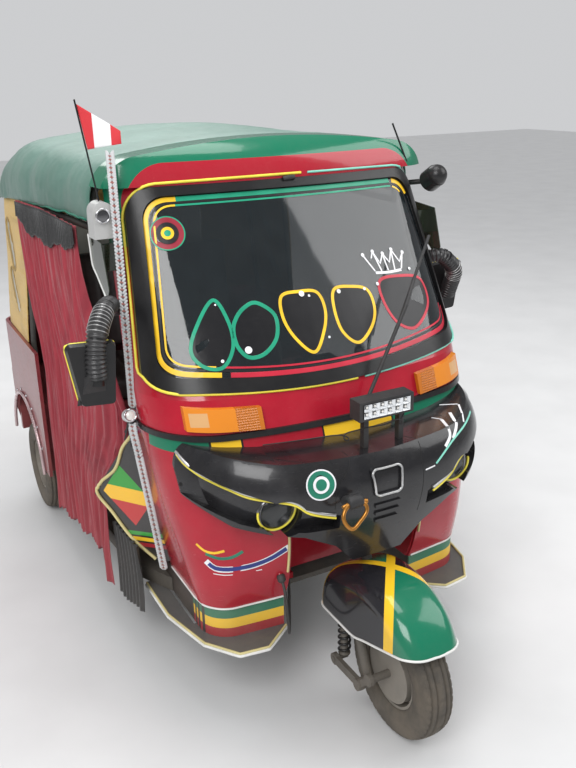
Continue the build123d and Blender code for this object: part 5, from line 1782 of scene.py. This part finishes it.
def add_cowl_decals():
    """Plain swooshes on the cowl's side, and the black clip where the seal's beads meet."""
    cowl = ["front_cowl"]
    # Name, look, width, lift, points
    swooshes = [
        ("white", white_vinyl, 0.021, 0.0003, [
            (-0.470, -0.744, 0.538), (-0.450, -0.763, 0.517), (-0.418, -0.785, 0.514),
            (-0.371, -0.801, 0.516), (-0.332, -0.809, 0.521), (-0.290, -0.818, 0.534),
            (-0.238, -0.829, 0.560)]),
        ("blue", blue_vinyl, 0.014, 0.0008, [
            (-0.464, -0.750, 0.531), (-0.450, -0.763, 0.518), (-0.418, -0.785, 0.515),
            (-0.371, -0.801, 0.517), (-0.332, -0.809, 0.522), (-0.290, -0.818, 0.534),
            (-0.246, -0.828, 0.556)]),
        ("green", green_dark_vinyl, 0.010, 0.0005, [
            (-0.470, -0.745, 0.563), (-0.440, -0.771, 0.552), (-0.405, -0.789, 0.556),
            (-0.375, -0.799, 0.572)]),
        ("yellow", yellow_vinyl, 0.008, 0.0005, [
            (-0.488, -0.722, 0.590), (-0.472, -0.742, 0.573), (-0.450, -0.763, 0.569),
            (-0.425, -0.781, 0.578)]),
        (
            "foot", white_vinyl, 0.003, 0.0003,
            [(-0.455, -0.758, 0.497), (-0.413, -0.785, 0.495), (-0.320, -0.809, 0.498)]),]
    for name, look, width, lift, points in swooshes:
        laid = raised(settle(cowl, points, 0.01), lift)
        ribbon(f"swoosh_{name}", laid, width, 0.0004, look)
    rod(
        "seal_clip", [(-0.014, -0.413, 1.573), (0.004, -0.416, 1.577), (0.024, -0.414, 1.576)], 0.0075,
        matte_black, sides=2)


blue_vinyl = finish_material("blue_vinyl", (0.012, 0.03, 0.20), 0.30, grime=0.05)
add_cowl_decals()


def add_small_lamps():
    """Lenses of the pod and the strap lamp, its loose ends, and tape on the wing's trim."""
    pod = (-0.578, -0.3812, 1.506)
    lathe(
        "pod_ring", [(0.0170, 0.0), (0.0175, -0.003), (0.0215, -0.003), (0.0225, 0.0)], pod, (0, 1, 0),
        chrome, steps=32)
    lathe(
        "pod_lens", [(0.0, -0.0022), (0.010, -0.0018), (0.0172, 0.0)], pod, (0, 1, 0), dark_chrome,
        steps=32)
    way = Vector((0, math.sin(math.radians(70)), -math.cos(math.radians(70))))
    middle = Vector((-0.590, -0.505, 0.940)) - way * 0.0125
    lathe(
        "strap_lamp_ring", [(0.0140, 0.0), (0.0150, -0.004), (0.0195, -0.004), (0.0205, 0.002)], middle,
        way, chrome, steps=32)
    lathe("strap_lamp_lens", [(0.0, -0.006), (0.008, -0.005), (0.0145, -0.001)], middle, way, clear_lens,
          steps=32)
    ends = []
    for k, (lean, drop) in enumerate(((-0.016, 0.060), (-0.004, 0.085), (0.010, 0.052), (-0.026, 0.036))):
        start = Vector((-0.594 + k * 0.004, -0.506, 0.926))
        ends.append(
            rod(
                "strap_end",
                [
                    start, start + Vector((lean * 0.6, -0.004, -drop * 0.5)),
                    start + Vector((lean, 0.002, -drop))], 0.0026, matte_black, sides=1))
    join("strap_ends", ends)
    for side in (-1, 1):
        rod(
            f"wing_tape_{side}", [(side * 0.561, -0.4365, 0.870), (side * 0.569, -0.4315, 0.846)], 0.0068,
            blue_vinyl, sides=2)


add_small_lamps()


def add_fixings():
    """The cable's sleeve, and studs round the wheel arches."""
    way = Vector((-0.05, -0.67, -0.74))
    sleeve = [
        (0.0, -0.012), (0.0100, -0.012), (0.0125, -0.008), (0.0125, 0.006), (0.0085, 0.012), (0.0, 0.012)]
    lathe("cable_sleeve", sleeve, (-0.262, -0.820, 0.454), way, matte_black, steps=24)
    stud = [(0.0, -0.0050), (0.0040, -0.0042), (0.0060, -0.0015), (0.0060, 0.001), (0.0, 0.001)]
    studs = []
    for side in (-1, 1):
        for angle in (60, 80, 100, 118, 136, 154):
            place = arch_place(side * 0.6455, 0.308, angle)
            studs.append(lathe("stud", stud, place, (-side, 0, 0), chrome, steps=12))
    join("arch_studs", studs)


add_fixings()


# Floor, lamps and world
def add_stage():
    """A pale floor, soft lamps and a pale surround."""
    deselect()
    bpy.ops.mesh.primitive_plane_add(size=40, location=(0, 0, -0.0005))
    floor = bpy.context.view_layer.objects.active
    floor.name = "floor"
    ground = bpy.data.materials.new("floor_grey")
    ground.use_nodes = True
    surface = ground.node_tree.nodes["Principled BSDF"]
    place, x, y, z = place_of(ground.node_tree)
    shade = speckle(ground.node_tree, place, 3.0, 3.0, 0.5).ramp(0.3, 0.7)
    plug(ground.node_tree, blend_colour(ground.node_tree, shade, (0.60, 0.60, 0.60), (0.64, 0.64, 0.64)),
         surface.inputs["Base Color"])
    surface.inputs["Roughness"].default_value = 0.85
    floor.data.materials.append(ground)
    # Lamps: place, size, watts
    for place, size, power in (((-3.4, -3.6, 4.6), 3.0, 190), ((3.6, -2.2, 3.8), 3.0, 80),
                               ((0.4, 3.6, 4.6), 3.2, 90), ((0.0, -0.4, 5.0), 2.4, 70)):
        data = bpy.data.lights.new("soft_lamp", "AREA")
        data.size = size
        data.energy = power
        lamp = bpy.data.objects.new("soft_lamp", data)
        scene.collection.objects.link(lamp)
        lamp.location = place
        lamp.rotation_mode = "QUATERNION"
        lamp.rotation_quaternion = (Vector((0, -0.2, 0.8)) - Vector(place)).to_track_quat("-Z", "Y")
    world = bpy.data.worlds.new("pale_world")
    scene.world = world
    world.use_nodes = True
    tree = world.node_tree
    back = tree.nodes["Background"]
    back.inputs["Color"].default_value = (0.95, 0.96, 0.98, 1)
    light = tree.nodes.new("ShaderNodeLightPath")
    seen = Wire(tree, light.outputs["Is Camera Ray"]).either(
        Wire(tree, light.outputs["Is Transmission Ray"]))
    gloss = Wire(tree, light.outputs["Is Glossy Ray"])
    strength = (seen * -0.16 - gloss * 0.50).math("ADD", 0.80)
    plug(tree, strength, back.inputs["Strength"])


add_stage()
scene.view_settings.view_transform = "Standard"
